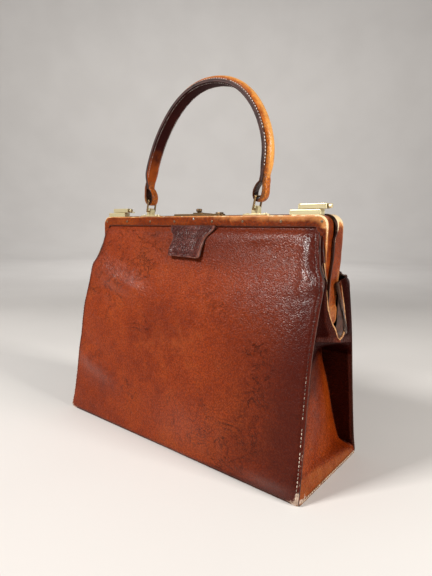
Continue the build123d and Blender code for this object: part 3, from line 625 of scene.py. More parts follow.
tuck_rear = mono([(0, 2.5), (0, 168.5), (0.25, 170), (1.2, 171.5), (2.7, 172.8), (4.6, 173.6), (7.2, 174.5), (7.8, 176), (6.0, 178), (3.2, 181),
                  (1.2, 185), (0.2, 192), (0, 198), (0, 221.5)])
tuck_left = mono([(0, 2.5), (0, 169.5), (1.3, 172.5), (1.5, 176), (0.8, 184), (0, 200), (0, 221.5)])


def tuck(z, side, sx):
    """how far the panel's edge is drawn in just above the shoulder"""
    if side > 0:
        return tuck_rear(z)
    return np.where(np.asarray(sx) < 0, tuck_left(z), 0.0)


def relief_common(x, z, w):
    u = x / w
    d = w - np.abs(x)
    v = np.clip((z - 2.5) / 211.0, 0, 1)
    out = 1.7 * (1 - u ** 4) * np.sin(math.pi * v) ** 0.8
    out -= 1.7 * np.clip(1 - d / 6.5, 0, 1) ** 2
    out -= 0.50 * gauss(d - 3.0, 0.9)
    out += 0.50 * gauss(d - 1.3, 1.1)
    return out


def relief_front(x, z, w):
    out = relief_common(x, z, w)
    # stretched fold beside the right seam, above the shoulder
    out += 2.1 * crease(x, z, [(126, 216), (128, 203), (131.4, 172), (131, 160), (126, 146)], 6.2)
    out -= 0.9 * crease(x, z, [(134, 210), (137.5, 196), (139.5, 181), (139, 172)], 4.2)
    out += 2.2 * gauss(np.hypot(x - 144.5, z - 169), 5.0)
    out -= 0.55 * crease(x, z, [(149, 163), (138, 159), (124, 157), (112, 151)], 4.5)
    out += 0.55 * crease(x, z, [(140, 170), (134, 152), (127, 136), (120, 118)], 7.0)
    out += 0.22 * gauss(np.hypot((x - 128) / 1.3, (z - 168) / 2.4), 24.0) * wander(x, 0, z, 3.2, 14, 2)
    out += 0.9 * crease(x, z, [(55, 203), (86, 206), (104, 208), (124, 204)], 5.0)
    out -= 0.6 * crease(x, z, [(60, 193), (90, 194), (118, 190)], 7.0)
    # long soft folds at the left
    out += 3.4 * crease(x, z, [(-146, 172), (-122.7, 162), (-73, 150), (-40, 141)], 11.0)
    out -= 2.4 * crease(x, z, [(-150, 152), (-132.7, 139), (-112, 141), (-74, 127)], 7.5)
    out -= 0.9 * crease(x, z, [(-142, 188), (-112, 179), (-70, 170)], 9.0)
    out += 2.4 * crease(x, z, [(-149, 70), (-132, 62), (-97, 53), (-68, 43)], 10.0)
    out -= 1.5 * crease(x, z, [(-150, 88), (-122, 78), (-88, 70), (-60, 66)], 8.0)
    out += 0.9 * crease(x, z, [(-146, 120), (-110, 111), (-78, 103)], 8.0)
    out -= 0.7 * crease(x, z, [(-146, 40), (-110, 30), (-80, 26)], 7.0)
    # bottom middle
    out += 2.2 * np.exp(-((x - 38) / 46) ** 2 - ((z - 36) / 27) ** 2)
    out -= 0.8 * crease(x, z, [(65, 40), (67, 24), (69, 8)], 3.0)
    out += 0.6 * crease(x, z, [(74, 40), (77, 24), (78, 8)], 5.0)
    out += 0.7 * np.exp(-((x - 118) / 25) ** 2 - ((z - 100) / 40) ** 2)
    out += 1.3 * np.exp(-((x - 120) / 26) ** 2 - ((z - 12) / 6) ** 2)
    out -= 1.0 * np.exp(-((x + 10) / 60) ** 2 - ((z - 95) / 30) ** 2)
    # crushed lower right corner
    out += 0.8 * wander(x, 0, z, 5.0, 3) * gauss(np.hypot((x - 146) / 1.3, z - 5), 13)
    # small wrinkles fanning from the right shoulder
    fan = gauss(np.hypot((x - 132) / 1.0, (z - 172) / 1.5), 30.0)
    out += 0.30 * fan * wander(x * 1.0, 0, z * 0.45, 5.0, 4, 2)
    out += 0.42 * wander(x, 0, z, 52.0, 1) + 0.16 * wander(x, 0, z, 14.0, 2)
    return out


def relief_rear(x, z, w):
    out = relief_common(x, z, w)
    out += 1.8 * crease(x, z, [(130, 212), (131, 190), (130, 168)], 6.0)
    out -= 1.1 * crease(x, z, [(137, 208), (139, 190), (139, 174)], 3.4)
    out += 1.9 * gauss(np.hypot(x - 144.5, z - 169), 5.0) + 1.6 * gauss(np.hypot(x + 144.5, z - 169), 5.0)
    out += 1.7 * crease(x, z, [(-146, 160), (-110, 150), (-64, 147)], 9.0)
    out -= 1.5 * crease(x, z, [(-148, 143), (-118, 133), (-80, 128)], 7.0)
    out += 1.5 * crease(x, z, [(146, 96), (112, 84), (70, 76)], 10.0)
    out -= 1.2 * crease(x, z, [(147, 78), (116, 68), (84, 62)], 7.0)
    out += 1.6 * np.exp(-((x + 30) / 50) ** 2 - ((z - 40) / 28) ** 2)
    out -= 0.7 * crease(x, z, [(-60, 46), (-64, 26), (-63, 8)], 3.2)
    out += 0.45 * wander(x, 0, z, 50.0, 7) + 0.17 * wander(x, 0, z, 14.0, 8)
    return out


def roll_in(z):
    """the panel's lower edge turns under the base"""
    return 2.0 * np.clip(1 - (z - 0.5) / 4.5, 0, 1) ** 2


def panel_surface(x, z, side):
    """side -1 is the front, +1 the rear. Returns the outer face's Y."""
    w = half_w(z) - tuck(z, side, x)
    rel = relief_front(x, z, w) if side < 0 else relief_rear(x, z, w)
    fade = smooth(0.0, 16.0, z) * (1 - smooth(203.0, 212.5, z) * 0.92)
    return side * (depth(np.maximum(z, 2.5)) + rel * (0.25 + 0.75 * fade) * np.where(z > 212, 0.25, 1.0) - roll_in(z))


def make_panel(name, side, mat):
    nu, nv = 151, 121
    u = np.sin(np.linspace(-1, 1, nu) * math.pi / 2 * 0.82) / math.sin(math.pi / 2 * 0.82)
    zl = np.concatenate([[0.5, 1.1, 1.9, 2.9, 4.0, 5.2], np.linspace(6.6, 219.0, nv - 6)])
    U, Z = np.meshgrid(u, zl, indexing="ij")
    X = U * (half_w(Z) - tuck(Z, side, U) * np.abs(U) ** 3)
    Y = panel_surface(X, Z, side)
    outer = np.stack([X, Y, Z], axis=2)
    thick = HIDE_T - 0.1
    inner = outer.copy()
    inner[:, :, 1] = side * (depth(np.maximum(Z, 2.5)) - HIDE_T) * 1.0
    inner[:, :, 1] = np.where(np.abs(inner[:, :, 1]) < np.abs(Y) - 0.8, inner[:, :, 1], Y - side * 0.9)
    inner[:, :, 0] *= 0.9985
    w = half_w(Z) - tuck(Z, side, X)
    d = w - np.abs(X)
    dark = 0.34 * gauss(d, 8.0) * smooth(0, 30, Z) + 0.08
    if side < 0:
        # darker towards the right: partly darker leather, partly painted shade for light falling off
        dark += (0.38 * smooth(20, 105, X) + 0.30 * smooth(98, 142, X)) * (1 - 0.55 * smooth(150, 180, Z))
        # painted shadow of the tab across the top middle
        dark += 0.20 * smooth(150, 200, Z) * smooth(-40, 30, X)
        dark += 0.34 * smooth(166, 186, Z) * np.exp(-((X - 6) / 78) ** 2)
        dark += 0.26 * gauss(d - 3.0, 7.0) * (X > 0) * smooth(50, 150, Z)
        dark += 0.10 * np.exp(-((X - 128) / 26) ** 2 - ((Z - 60) / 45) ** 2)
        dark += 0.10 * np.exp(-((X - 95) / 30) ** 2 - ((Z - 24) / 18) ** 2)
        dark += 0.16 * smooth(-120, -148, X) * smooth(130, 190, Z)
        dark += 0.25 * smooth(8, 1, Z)
        # painted shade in the valley of the left crease
        dark += 0.22 * crease(X, Z, [(-150, 146), (-132.7, 138), (-115, 142)], 3.0)
        dark += 0.20 * np.exp(-((X + 52) / 30) ** 2 - ((Z - 206) / 8) ** 2)
        # painted highlights: a broad one on the middle, on the two left ridges and on the bottom middle
        light = 0.30 * np.exp(-((X + 5) / 60) ** 2 - ((Z - 100) / 34) ** 2)
        light += 0.22 * np.exp(-((X + 105) / 28) ** 2 - ((Z - 158) / 14) ** 2)
        light += 0.20 * np.exp(-((X + 118) / 22) ** 2 - ((Z - 58) / 12) ** 2)
        light += 0.12 * np.exp(-((X - 38) / 40) ** 2 - ((Z - 36) / 22) ** 2)
        wear = 0.52 * gauss(np.hypot((X - 147) / 1.25, (Z - 3) / 0.85), 9.5)
        wear += 0.58 * gauss(np.hypot(X + 149, (Z - 3) / 1.4), 5.0)
        wear += 0.44 * gauss(d - 0.5, 2.2) * smooth(110, 20, Z) * (X > 0)
        wear += 0.30 * gauss(np.hypot(X - 146.5, Z - 171), 2.6)
        wear += 0.28 * smooth(3.2, 1.0, Z)
        wear += 0.26 * crease(X, Z, [(133, 42), (138, 36), (146, 30)], 2.0) + 0.20 * crease(X, Z, [(126, 30), (137, 24), (147, 22)], 1.6)
        wear += 0.55 * gauss(np.hypot(X + 75.8, Z - 48.8), 0.9)
    else:
        dark += 0.20 * smooth(100, 148, np.abs(X)) + 0.2 * smooth(8, 1, Z)
        # painted highlight on the middle, as on the front
        light = 0.25 * np.exp(-((X + 10) / 70) ** 2 - ((Z - 95) / 40) ** 2)
        wear = 0.5 * gauss(np.hypot(np.abs(X) - 149, (Z - 3) / 1.3), 6.0) + 0.26 * smooth(3.2, 1.0, Z)
        wear += 0.25 * gauss(np.hypot(np.abs(X) - 146.5, Z - 171), 2.6)
    shine = 1.0 * crease(X, Z, [(127, 212), (128, 203), (131.4, 172), (130, 155)], 9.0) + 0.42 * np.exp(-((X - 98) / 40) ** 2 - ((Z - 203) / 11) ** 2)
    shine += 0.26 * np.exp(-((X - 108) / 40) ** 2 - ((Z - 160) / 24) ** 2) + 0.7 * crease(X, Z, [(-146, 172), (-122.7, 162), (-73, 150), (-40, 141)], 13.0)
    shine += 0.5 * crease(X, Z, [(-149, 70), (-132, 62), (-97, 53), (-68, 43)], 11.0) + 0.4 * np.exp(-((X - 30) / 40) ** 2 - ((Z - 32) / 22) ** 2)
    shine += 0.9 * np.exp(-((X - 122) / 24) ** 2 - ((Z - 8) / 6) ** 2) + 0.30 * crease(X, Z, [(140, 168), (134, 150), (127, 132), (120, 112)], 12.0)
    if side > 0:
        shine = 0.4 * gauss(np.abs(X) - 130, 12) * smooth(150, 180, Z)
    ob = sheet_solid(name, outer, inner, [mat, flesh_side, dark_edge], {"dark": dark, "light": light, "wear": wear, "shine": shine}, bulge=0.5)
    return ob


front = make_panel("front_panel_skin", -1, body_leather)
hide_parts("front_panel")
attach(front, "bag")
rear = make_panel("rear_panel_skin", 1, rear_leather)
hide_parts("rear_panel")
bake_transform(rear)


def panel_seam(side, sx, inset=1.9, z0=4.0, z1=209.0, n=240):
    z = np.linspace(z0, z1, n)
    x = sx * (half_w(z) - tuck(z, side, sx) - inset)
    y = panel_surface(x, z, side)
    p = np.stack([x, y, z], axis=1)
    e = 0.4
    ya, yb = panel_surface(x + e, z, side), panel_surface(x - e, z, side)
    za, zb = panel_surface(x, z + e, side), panel_surface(x, z - e, side)
    nrm = np.stack([-(ya - yb) / (2 * e), np.ones(n), -(za - zb) / (2 * e)], axis=1) * side
    nrm[:, 0] *= 1
    nrm /= np.linalg.norm(nrm, axis=1, keepdims=True)
    return p, nrm


def worn_low(frac, rng):
    """stitches are rubbed pale near the base"""
    pale = 1.0 if frac < 0.3 else 0.45 if frac < 0.45 else 0.1
    return min(1.0, max(0.0, pale * rng.uniform(0.35, 1.1) + rng.uniform(0, 0.1)))


rows = []
for k, sx in enumerate((-1, 1)):
    p, nr = panel_seam(-1, sx)
    rows.append(stitch_row(p, nr, seed=11 + k, tone=worn_low, skip=0.03, radius=0.30))
front_stitch = stitch_object("front_panel_stitches", rows, seam_thread)
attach(front_stitch, "bag")
rows = []
for k, sx in enumerate((-1, 1)):
    p, nr = panel_seam(1, sx)
    rows.append(stitch_row(p, nr, seed=21 + k, tone=worn_low, skip=0.03, radius=0.30))
rear_stitch = stitch_object("rear_panel_stitches", rows, seam_thread)
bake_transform(rear_stitch)


# ---------------------------------------------------------------------------
# gussets
# ---------------------------------------------------------------------------
seam_x = mono([(149.9, 0.6), (149.7, 2.5), (148.4, 18), (148.2, 56), (147.7, 81), (147.5, 106), (147.6, 116), (147.8, 122),
               (148.0, 150), (148.2, 165), (147.9, 171), (145.8, 175.8), (142.8, 180.7), (136.8, 213.6)])
# the fold lies deep inside, close to the rear panel; above it the sheet comes back out to a lip
fold_x = mono([(141.0, 0.6), (138.5, 6), (136.2, 10), (133.4, 20), (130.2, 34.5), (125.3, 64.6), (118.8, 98.8), (119.3, 104),
               (125.0, 109.0), (137.0, 113.5), (148.2, 117.0), (150.9, 120.5), (150.6, 127), (150.2, 138), (149.0, 152), (148.0, 166),
               (147.6, 213.6)])
fold_y = mono([(50.6, 2.5), (50.6, 10), (49.4, 20), (47.4, 34.5), (43.6, 64.6), (39.2, 98.8), (35.0, 104), (22.0, 110), (9.0, 116),
               (4.5, 121.0), (4.0, 130), (4.0, 213.6)])
hem_front = mono([(4.2, 121.4), (0.2, 123.0), (-4.2, 129.6), (-12.6, 138.2), (-17.6, 152.5), (-21.0, 163.0)])
hem_rear = mono([(4.2, 121.4), (9.8, 124.4), (13.2, 129.5), (13.6, 135.0), (12.3, 142.0), (9.6, 149.5), (5.9, 157.5), (4.2, 163.0)])


hem_lean = mono([(4.2, 121.4), (9.8, 124.4), (12.9, 128.0), (13.7, 133.0), (12.2, 141.0), (9.1, 148.7), (5.9, 155.2), (2.1, 161.6), (-1.4, 166.6), (-2.8, 169.5)])
hem_out = mono([(3.0, 118), (3.2, 122), (2.6, 130), (1.8, 140), (0.8, 152), (0.3, 164), (0.9, 174), (1.3, 182), (1.3, 213)])


def seam_y(z):
    return depth(np.maximum(z, 2.5)) - 2.1 - 0.6 * smooth(5, 0.5, z)


def hem_fraction(z, side):
    """how far the sheet reaches from the seam (0) to the fold line (1) at height z"""
    ys = seam_y(z)
    yc = side * 4.0
    h = side * (hem_front(z) if side < 0 else hem_rear(z))
    low = (ys - h) / (ys - yc)
    at163 = (seam_y(163.0) - side * (hem_front(163.0) if side < 0 else hem_rear(163.0))) / (seam_y(163.0) - yc)
    if side < 0:
        top = at163 + (0.075 - at163) * smooth(163, 173, z) - 0.02 * np.clip((z - 173) / 34, 0, 1)
    else:
        top = at163 + (0.056 - at163) * smooth(168.5, 172.8, z) - 0.022 * np.clip((z - 172.8) / 15, 0, 1) - 0.006 * np.clip((z - 187.8) / 16, 0, 1)
    return np.where(z < 163, low, top)


def gusset_grid(mirror, seed):
    n_half = 56
    zs = np.linspace(121.0, 207.0, 500)
    cols = []
    for side in (-1, 1):
        frac = np.minimum.accumulate(np.clip(hem_fraction(zs, side), 0, 1))
        if side < 0:
            t = np.linspace(0, 1, n_half) ** 1.35
        else:
            # closely spaced where the strip beside the seam dips behind the shoulder
            fine = np.concatenate([[0.0, 0.010, 0.020, 0.028], np.linspace(0.0335, 0.0565, 11)])
            t = np.concatenate([fine, 0.0565 + (1 - 0.0565) * np.linspace(0, 1, n_half - len(fine) + 1)[1:] ** 1.15])
        top = np.interp(-t, -frac - np.arange(frac.size) * -1e-7, zs)           # frac falls as z rises
        cols.append((side, t, top))
        if side > 0:
            rear_frac = frac
    zl = np.concatenate([np.linspace(0.7, 3.5, 6)[:-1], np.linspace(3.5, 100, 46)[:-1], np.linspace(100, 119.5, 32)])
    pts, uu, tt, zz, rr = [], [], [], [], []
    order = [(cols[0], i) for i in range(n_half)] + [(cols[1], i) for i in range(n_half - 2, -1, -1)]
    for (side, t, top), i in order:
        if side < 0:
            up = np.linspace(119.5, top[i], 42)[1:]
        else:
            # rows stay level up to the shoulder, so that no face bridges the dip above it
            level = min(172.0, top[i] - 0.8)
            near = float(smooth(168.0, 171.5, top[i]))
            up = np.concatenate([np.linspace(119.5, level, 32)[1:], np.linspace(level, top[i], 11)[1:]])
            up = up * near + np.linspace(119.5, top[i], 42)[1:] * (1 - near)
        z0 = np.concatenate([zl, up])
        ti = t[i]
        guess = side * seam_y(z0) * (1 - ti) + 4.0 * ti
        # the lip slopes down towards the rear
        z = z0 - 0.19 * (guess + 2.0) * smooth(97, 115, z0) * (1 - smooth(119.5, 142, z0))
        ys, yc = seam_y(z), fold_y(z0)
        y = side * ys * (1 - ti) + yc * ti
        if side > 0:
            # the short rear half lies against the rear panel
            y = np.where(z0 < 118, np.minimum(y, ys - 2.4 * smooth(0.0, 0.12, ti) * smooth(6, 16, z)), y)
        drawn = tuck(z, side, -1.0 if mirror else 1.0)
        foot = (18.5 - 12.5 * ti ** 1.3) if side < 0 else 6.0 - 3.0 * (1 - ti)
        deep = smooth(foot, foot + 6.5, z)
        low = seam_x(z) + (fold_x(z0) - seam_x(z0)) * ti * deep
        rel = np.clip(ti / np.clip(hem_fraction(z0, side), 0.02, 1.0), 0, 1)
        if side > 0:
            fr = np.interp(z0, zs, rear_frac)
            rel = np.where(z0 > 121.0, np.clip(ti / np.clip(fr, 0.02, 1.0), 0, 1), rel)
            lean = (ys - fr * (ys - 4.0)) - hem_lean(np.minimum(z0, 169.5))
            y = y - np.maximum(lean, 0) * rel ** 1.1 * smooth(122, 130, z0) * (1 - smooth(169.0, 172.8, z0))
        high = seam_x(z) - drawn * (1 - smooth(0.06, 0.34, ti) * (1 - smooth(170.0, 173.5, z0)) * (side > 0)) + hem_out(z0) * rel ** 1.5
        if side < 0:
            high = high - 1.3 * np.sin(math.pi * rel) * smooth(122, 130, z0) * (1 - smooth(158, 168, z0))
        else:
            high = high + 1.9 * np.sin(math.pi * rel) ** 0.8 * smooth(121, 130, z0) * (1 - 0.75 * smooth(166, 176, z0))
        mixz = smooth(117.0, 121.0, z0)
        x = low * (1 - mixz) + high * mixz
        pts.append(np.stack([x, y, z], axis=1))
        uu.append(np.full(z.size, ti))
        zz.append(z0)
        tt.append(np.full(z.size, float(side)))
        rr.append(rel)
    P = np.array(pts)
    T, S, Z, R = np.array(uu), np.array(tt), np.array(zz), np.array(rr)
    # swell of the long front half
    belly = np.sin(math.pi * np.clip(T, 0, 1)) ** 0.9 * smooth(24, 50, Z) * smooth(106, 84, Z) * (S < 0)
    P[..., 0] += 2.2 * belly
    wob = wander(P[..., 0], P[..., 1], P[..., 2], 26.0, seed) * 0.8 + wander(P[..., 0], P[..., 1], P[..., 2], 8.0, seed + 1) * 0.22
    P[..., 0] += wob * np.sin(math.pi * np.clip(T, 0.05, 0.95)) * smooth(3, 14, Z) * (1 - 0.75 * smooth(150, 175, Z))
    # foot band over the base board
    P[..., 0] += 0.5 * gauss(Z - 8.0, 6.0) * (S < 0)
    return P, T, S, Z, R


def make_gusset(name, mirror, seed):
    P, T, S, Z, R = gusset_grid(mirror, seed)
    nrm = grid_normals(P)
    if nrm[10, 10, 0] < 0:
        nrm = -nrm
    inner = P - nrm * 1.6
    # nothing of the rear arm reaches the swinging leg
    far = (smooth(140, 150, Z) * (1 - smooth(174, 178, Z)) * (S > 0)) > 0.4
    least = 146.35 - 8.0 * smooth(17, 24, P[..., 1]) * smooth(165, 171, Z)
    inner[..., 0] = np.where(far, np.maximum(inner[..., 0], least), inner[..., 0])
    P[..., 0] = np.where(far, np.maximum(P[..., 0], inner[..., 0] + 0.9), P[..., 0])
    foot = 18.5 - 12.5 * T ** 1.3
    onfoot = smooth(foot + 3.0, foot - 1.0, Z) * (S < 0)
    # painted shade: along the front seam, under the lip, over the rear half, on the upper front half and in the crease
    # above the foot; the arms above the lip are darker too
    dark = 0.10 + 0.34 * np.clip(1 - T / 0.10, 0, 1) * smooth(20, 60, Z) * (S < 0)
    dark += 0.85 * smooth(98, 108, Z) * (Z < 119) + (S < 0) * smooth(116, 119, Z) * (0.42 + 0.5 * smooth(1.0, 0.45, R))
    dark += 0.85 * (S > 0) * smooth(117, 120, Z) * smooth(1.0, 0.9, R) + 0.25 * gauss(Z - foot - 2.0, 2.0) * (S < 0)
    dark += 0.95 * (S > 0) * smooth(5, 12, Z) * (Z < 119)
    dark += 0.46 * (S < 0) * smooth(62, 96, Z) * (Z < 119)
    # painted light on the foot band and the lower front half
    light = 0.46 * onfoot + 0.08 * (S < 0) * smooth(105, 40, Z)
    wear = 0.30 * smooth(4.0, 1.0, Z) + 0.4 * gauss(np.hypot(T * 50, Z - 2), 6)
    wear += 0.20 * onfoot * smooth(9, 2, Z)
    dark += 0.30 * smooth(121, 126, Z)
    shine = (S < 0) * (0.10 + 0.22 * smooth(104, 70, Z) * smooth(24, 40, Z) * smooth(0.05, 0.3, T)) * (Z < 119)
    shine += 0.8 * (S > 0) * gauss(np.hypot(P[..., 1] - 20.5, P[..., 2] - 169.8), 3.0)
    if mirror:
        P = P * np.array([-1.0, 1, 1])
        inner = inner * np.array([-1.0, 1, 1])
    skin = sheet_solid(name, P, inner, [gusset_leather, flesh_side, dark_edge], {"dark": dark, "light": light, "wear": wear, "shine": shine},
                       bulge=0.35)
    # turned edge along the V, as a thin raw bead
    top = (P[:, -1] + inner[:, -1]) / 2
    seg = np.linalg.norm(np.diff(top, axis=0), axis=1)
    run = np.concatenate([[0], np.cumsum(seg)])
    q = np.arange(0.4, run[-1] - 0.4, 1.1)
    line = np.stack([np.interp(q, run, top[:, a]) for a in range(3)], axis=1)
    for _ in range(3):
        line[1:-1] = (line[:-2] + 2 * line[1:-1] + line[2:]) / 4
    tan = np.gradient(line, axis=0)
    tan /= np.linalg.norm(tan, axis=1, keepdims=True)
    out = np.array([-1.0 if mirror else 1.0, 0.0, 0.0]) - tan * tan[:, :1] * (-1.0 if mirror else 1.0)
    out /= np.linalg.norm(out, axis=1, keepdims=True)
    across = np.cross(tan, out)
    rng = np.random.RandomState(seed + 9)
    size = 1.0 + 0.10 * np.convolve(rng.normal(size=len(line) + 8), np.ones(9) / 3, "valid")
    size = np.clip(size, 0.8, 1.25) * np.interp(q, [0, 6, run[-1] - 6, run[-1]], [0.6, 1, 1, 0.6])
    ahead = np.arange(len(line)) < int(np.argmin(line[:, 2]))
    size = size * np.where(ahead, 0.92 - 0.57 * smooth(150, 174, line[:, 2]), 0.92 - 0.50 * smooth(140, 166, line[:, 2]))
    # painted shade: the bead turns dark where it meets the roll over the shoulder (higher up at the front); below, the
    # cream raw edge also stands for a painted highlight on the lit rim
    shade = np.where(ahead, line[:, 2] > 186, line[:, 2] > 166)
    verts, faces, fm = [], [], []
    sides = 10
    for i in range(len(line)):
        for a in range(sides):
            th = 2 * math.pi * a / sides
            verts.append(line[i] + out[i] * 1.15 * size[i] * math.cos(th) + across[i] * 1.0 * size[i] * math.sin(th))
    for i in range(len(line) - 1):
        for a in range(sides):
            b = (a + 1) % sides
            faces.append((i * sides + a, i * sides + b, (i + 1) * sides + b, (i + 1) * sides + a))
            fm.append(1 if shade[i] else 0)
    faces.append(tuple(range(sides)))
    faces.append(tuple((len(line) - 1) * sides + a for a in reversed(range(sides))))
    fm += [1, 1]
    bead = make_object(name.replace("skin", "hem"), np.array(verts), faces, [hem_leather, dark_edge], fm)
    return skin, bead


def make_facing(name, mirror):
    """inside of the rear arm that shows through the V"""
    hem = mono([(4.6, 121.2), (9.6, 124.4), (12.6, 128.0), (13.4, 133.0), (12.0, 141.0), (9.0, 148.7), (5.9, 155.2), (2.4, 161.6), (0.8, 164.0)])
    reach = mono([(4.0, 121.2), (6.0, 125.5), (4.4, 130.0), (3.0, 134.0), (2.6, 142.0), (2.4, 152.0), (2.0, 164.0)])
    shift = mono([(0.8, 121.2), (8.0, 126.0), (12.2, 130.5), (10.6, 133.6), (9.6, 137.0), (8.4, 142.0), (5.2, 149.0), (2.5, 155.0), (1.0, 160.0), (0.6, 164.0)])
    nu, nv = 16, 50
    z = np.linspace(121.6, 163.5, nv)
    u = np.linspace(0, 1, nu)
    U, Z = np.meshgrid(u, z, indexing="ij")
    Y = hem(Z) - shift(Z) * U ** 0.8 + 0.25 * wander(0, U * 9, Z, 6.0, 76, 2)
    X = 150.3 - 0.9 * smooth(130, 160, Z) - reach(Z) * U ** 1.1 + 0.25 * wander(U * 9, 0, Z, 6.0, 77, 2)
    X = np.maximum(X, 139.0 + 8.8 * smooth(126.0, 131.0, Z))
    outer = np.stack([X, Y, Z], axis=2)
    inner = outer + np.array([-0.45, 0.55, 0])
    if mirror:
        outer, inner = outer * np.array([-1.0, 1, 1]), inner * np.array([-1.0, 1, 1])
    return sheet_solid(name, outer, inner, [shaded_facing_hide] * 3, None, bulge=0.12)


for name, node, mirror, seed in (("right_gusset_skin", "right_gusset", False, 31), ("left_gusset_skin", "left_gusset", True, 41)):
    skin, bead = make_gusset(name, mirror, seed)
    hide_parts(node)
    for part in (skin, bead, make_facing(name.replace("skin", "facing"), mirror)):
        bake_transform(part)


# ---------------------------------------------------------------------------
# base: slab with rounded edges, raw tan edge at the ends
# ---------------------------------------------------------------------------
def rounded_rect(hx, hy, r, per=7, step=3.0):
    pts = []
    for cx, cy, a0 in ((hx - r, hy - r, 0), (-hx + r, hy - r, 90), (-hx + r, -hy + r, 180), (hx - r, -hy + r, 270)):
        for i in range(per + 1):
            a = math.radians(a0 + 90 * i / per)
            pts.append((cx + r * math.cos(a), cy + r * math.sin(a)))
    out = []
    for (ax, ay), (bx, by) in zip(pts, pts[1:] + pts[:1]):
        k = max(1, int(math.hypot(bx - ax, by - ay) / step))
        out += [(ax + (bx - ax) * i / k, ay + (by - ay) * i / k) for i in range(k)]
    return out


def make_base():
    levels = [(0.0, -3.0), (0.0, -1.0), (0.25, -0.35), (0.8, 0.0), (1.6, 0.0), (2.15, -0.35), (2.38, -1.0), (2.4, -3.0)]
    ring = rounded_rect(HALF_L + 0.7, HALF_D - 1.3, 3.4)
    n = len(ring)
    verts, dark, light, wear = [], [], [], []
    rng = random.Random(5)
    wob = [rng.uniform(-0.12, 0.12) for _ in ring]
    for z, inset in levels:
        for (x, y), q in zip(ring, wob):
            f = (math.hypot(x, y) + inset + q) / math.hypot(x, y)
            verts.append((x * f, y * f, z))
            end = 1.0 if abs(x) > HALF_L - 6 else 0.0
            corner = math.exp(-(math.hypot(abs(x) - HALF_L, abs(y) - HALF_D) / 9) ** 2)
            dark.append(0.1 if end else 0.5)
            light.append(0.75 * end)
            wear.append(0.20 + 0.5 * corner + 0.12 * end)
    faces, fm = [], []
    for l in range(len(levels) - 1):
        for i in range(n):
            j = (i + 1) % n
            faces.append((l * n + i, l * n + j, (l + 1) * n + j, (l + 1) * n + i))
            fm.append(1 if l in (2, 3, 4) and abs(ring[i][0]) > HALF_L - 2.0 else 0)
    # underside and top as inner rings towards the middle
    for level, flip in ((0, True), (len(levels) - 1, False)):
        prev = [level * n + i for i in range(n)]
        for k in range(1, 6):
            f = 1 - k * 0.18
            start = len(verts)
            for i in range(n):
                x, y, z = verts[level * n + i]
                verts.append((x * f, y * f, z))
                dark.append(0.3)
                light.append(0.0)
                wear.append(0.18)
            cur = [start + i for i in range(n)]
            for i in range(n):
                j = (i + 1) % n
                faces.append((prev[i], prev[j], cur[j], cur[i]))
                fm.append(0)
            prev = cur
        faces.append(tuple(prev))
        fm.append(0)
    return make_object("base_sole", np.array(verts), faces, [base_leather, tan_edge], fm, {"dark": dark, "light": light, "wear": wear})


base = make_base()
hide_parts("base_panel")
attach(base, "bag")

rows = []
for k, sx in enumerate((-1, 1)):
    y = np.linspace(-53.5, 53.5, 160)
    p = np.stack([np.full(160, sx * 150.75), y, np.full(160, 2.55)], axis=1)
    nr = np.tile(np.array([sx * 0.75, 0, 0.66]), (160, 1))
    rows.append(stitch_row(p, nr, length=2.2, pitch=3.2, seed=51 + k, tone=lambda f, r: r.uniform(0.55, 1.0), skip=0.05, radius=0.28))
welt = stitch_object("base_end_stitches", rows, edge_thread)
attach(welt, "bag")


# ---------------------------------------------------------------------------
# lining: thin cloth, front half with the floor, and the rear half
# ---------------------------------------------------------------------------
def make_lining(name, side, floor):
    zl = np.linspace(212.0, 6.5, 70)
    line = [(side * (float(depth(z)) - HIDE_T - 0.35), z) for z in zl]
    if floor:
        y0 = side * (float(depth(6.5)) - HIDE_T - 0.35)
        line += [(y0 * 0.985, 5.4), (y0 * 0.95, 4.95)]
        line += [(y0 * 0.9 + (-y0 * 0.9 - y0 * 0.9) * t, 4.75) for t in np.linspace(0, 1, 30)]
        line += [(-y0 * 0.95, 4.95)]
    line = np.array(line)
    nu = 71
    xs = np.linspace(-132.4, 132.4, nu)
    X = np.repeat(xs[:, None], len(line), axis=1)
    Y = np.repeat(line[None, :, 0], nu, axis=0)
    Z = np.repeat(line[None, :, 1], nu, axis=0)
    if side > 0:
        X = X * (1 - 0.16 * smooth(20, 60, Z) * smooth(128, 112, Z))
    fold = wander(X, Y * 0.3, Z, 34.0, 61 + side, 3)
    free = smooth(205, 180, Z) * smooth(5.5, 20, Z)
    Y = Y - side * (0.35 + 1.1 * np.abs(fold)) * free
    outer = np.stack([X, Y, Z], axis=2)
    inner = outer.copy()
    nrm = grid_normals(outer)
    want = np.stack([np.zeros_like(X), np.full_like(X, -float(side)), np.full_like(X, 0.3)], axis=2)
    flip = np.sign((nrm * want).sum(axis=2, keepdims=True))
    inner = outer + nrm * flip * 0.4
    return sheet_solid(name, inner, outer, [lining_cloth, lining_cloth, lining_cloth], None, bulge=0.1)


lin_f = make_lining("lining_front", -1, True)
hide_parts("lining")
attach(lin_f, "bag")
lin_r = make_lining("lining_rear", 1, False)
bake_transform(lin_r)


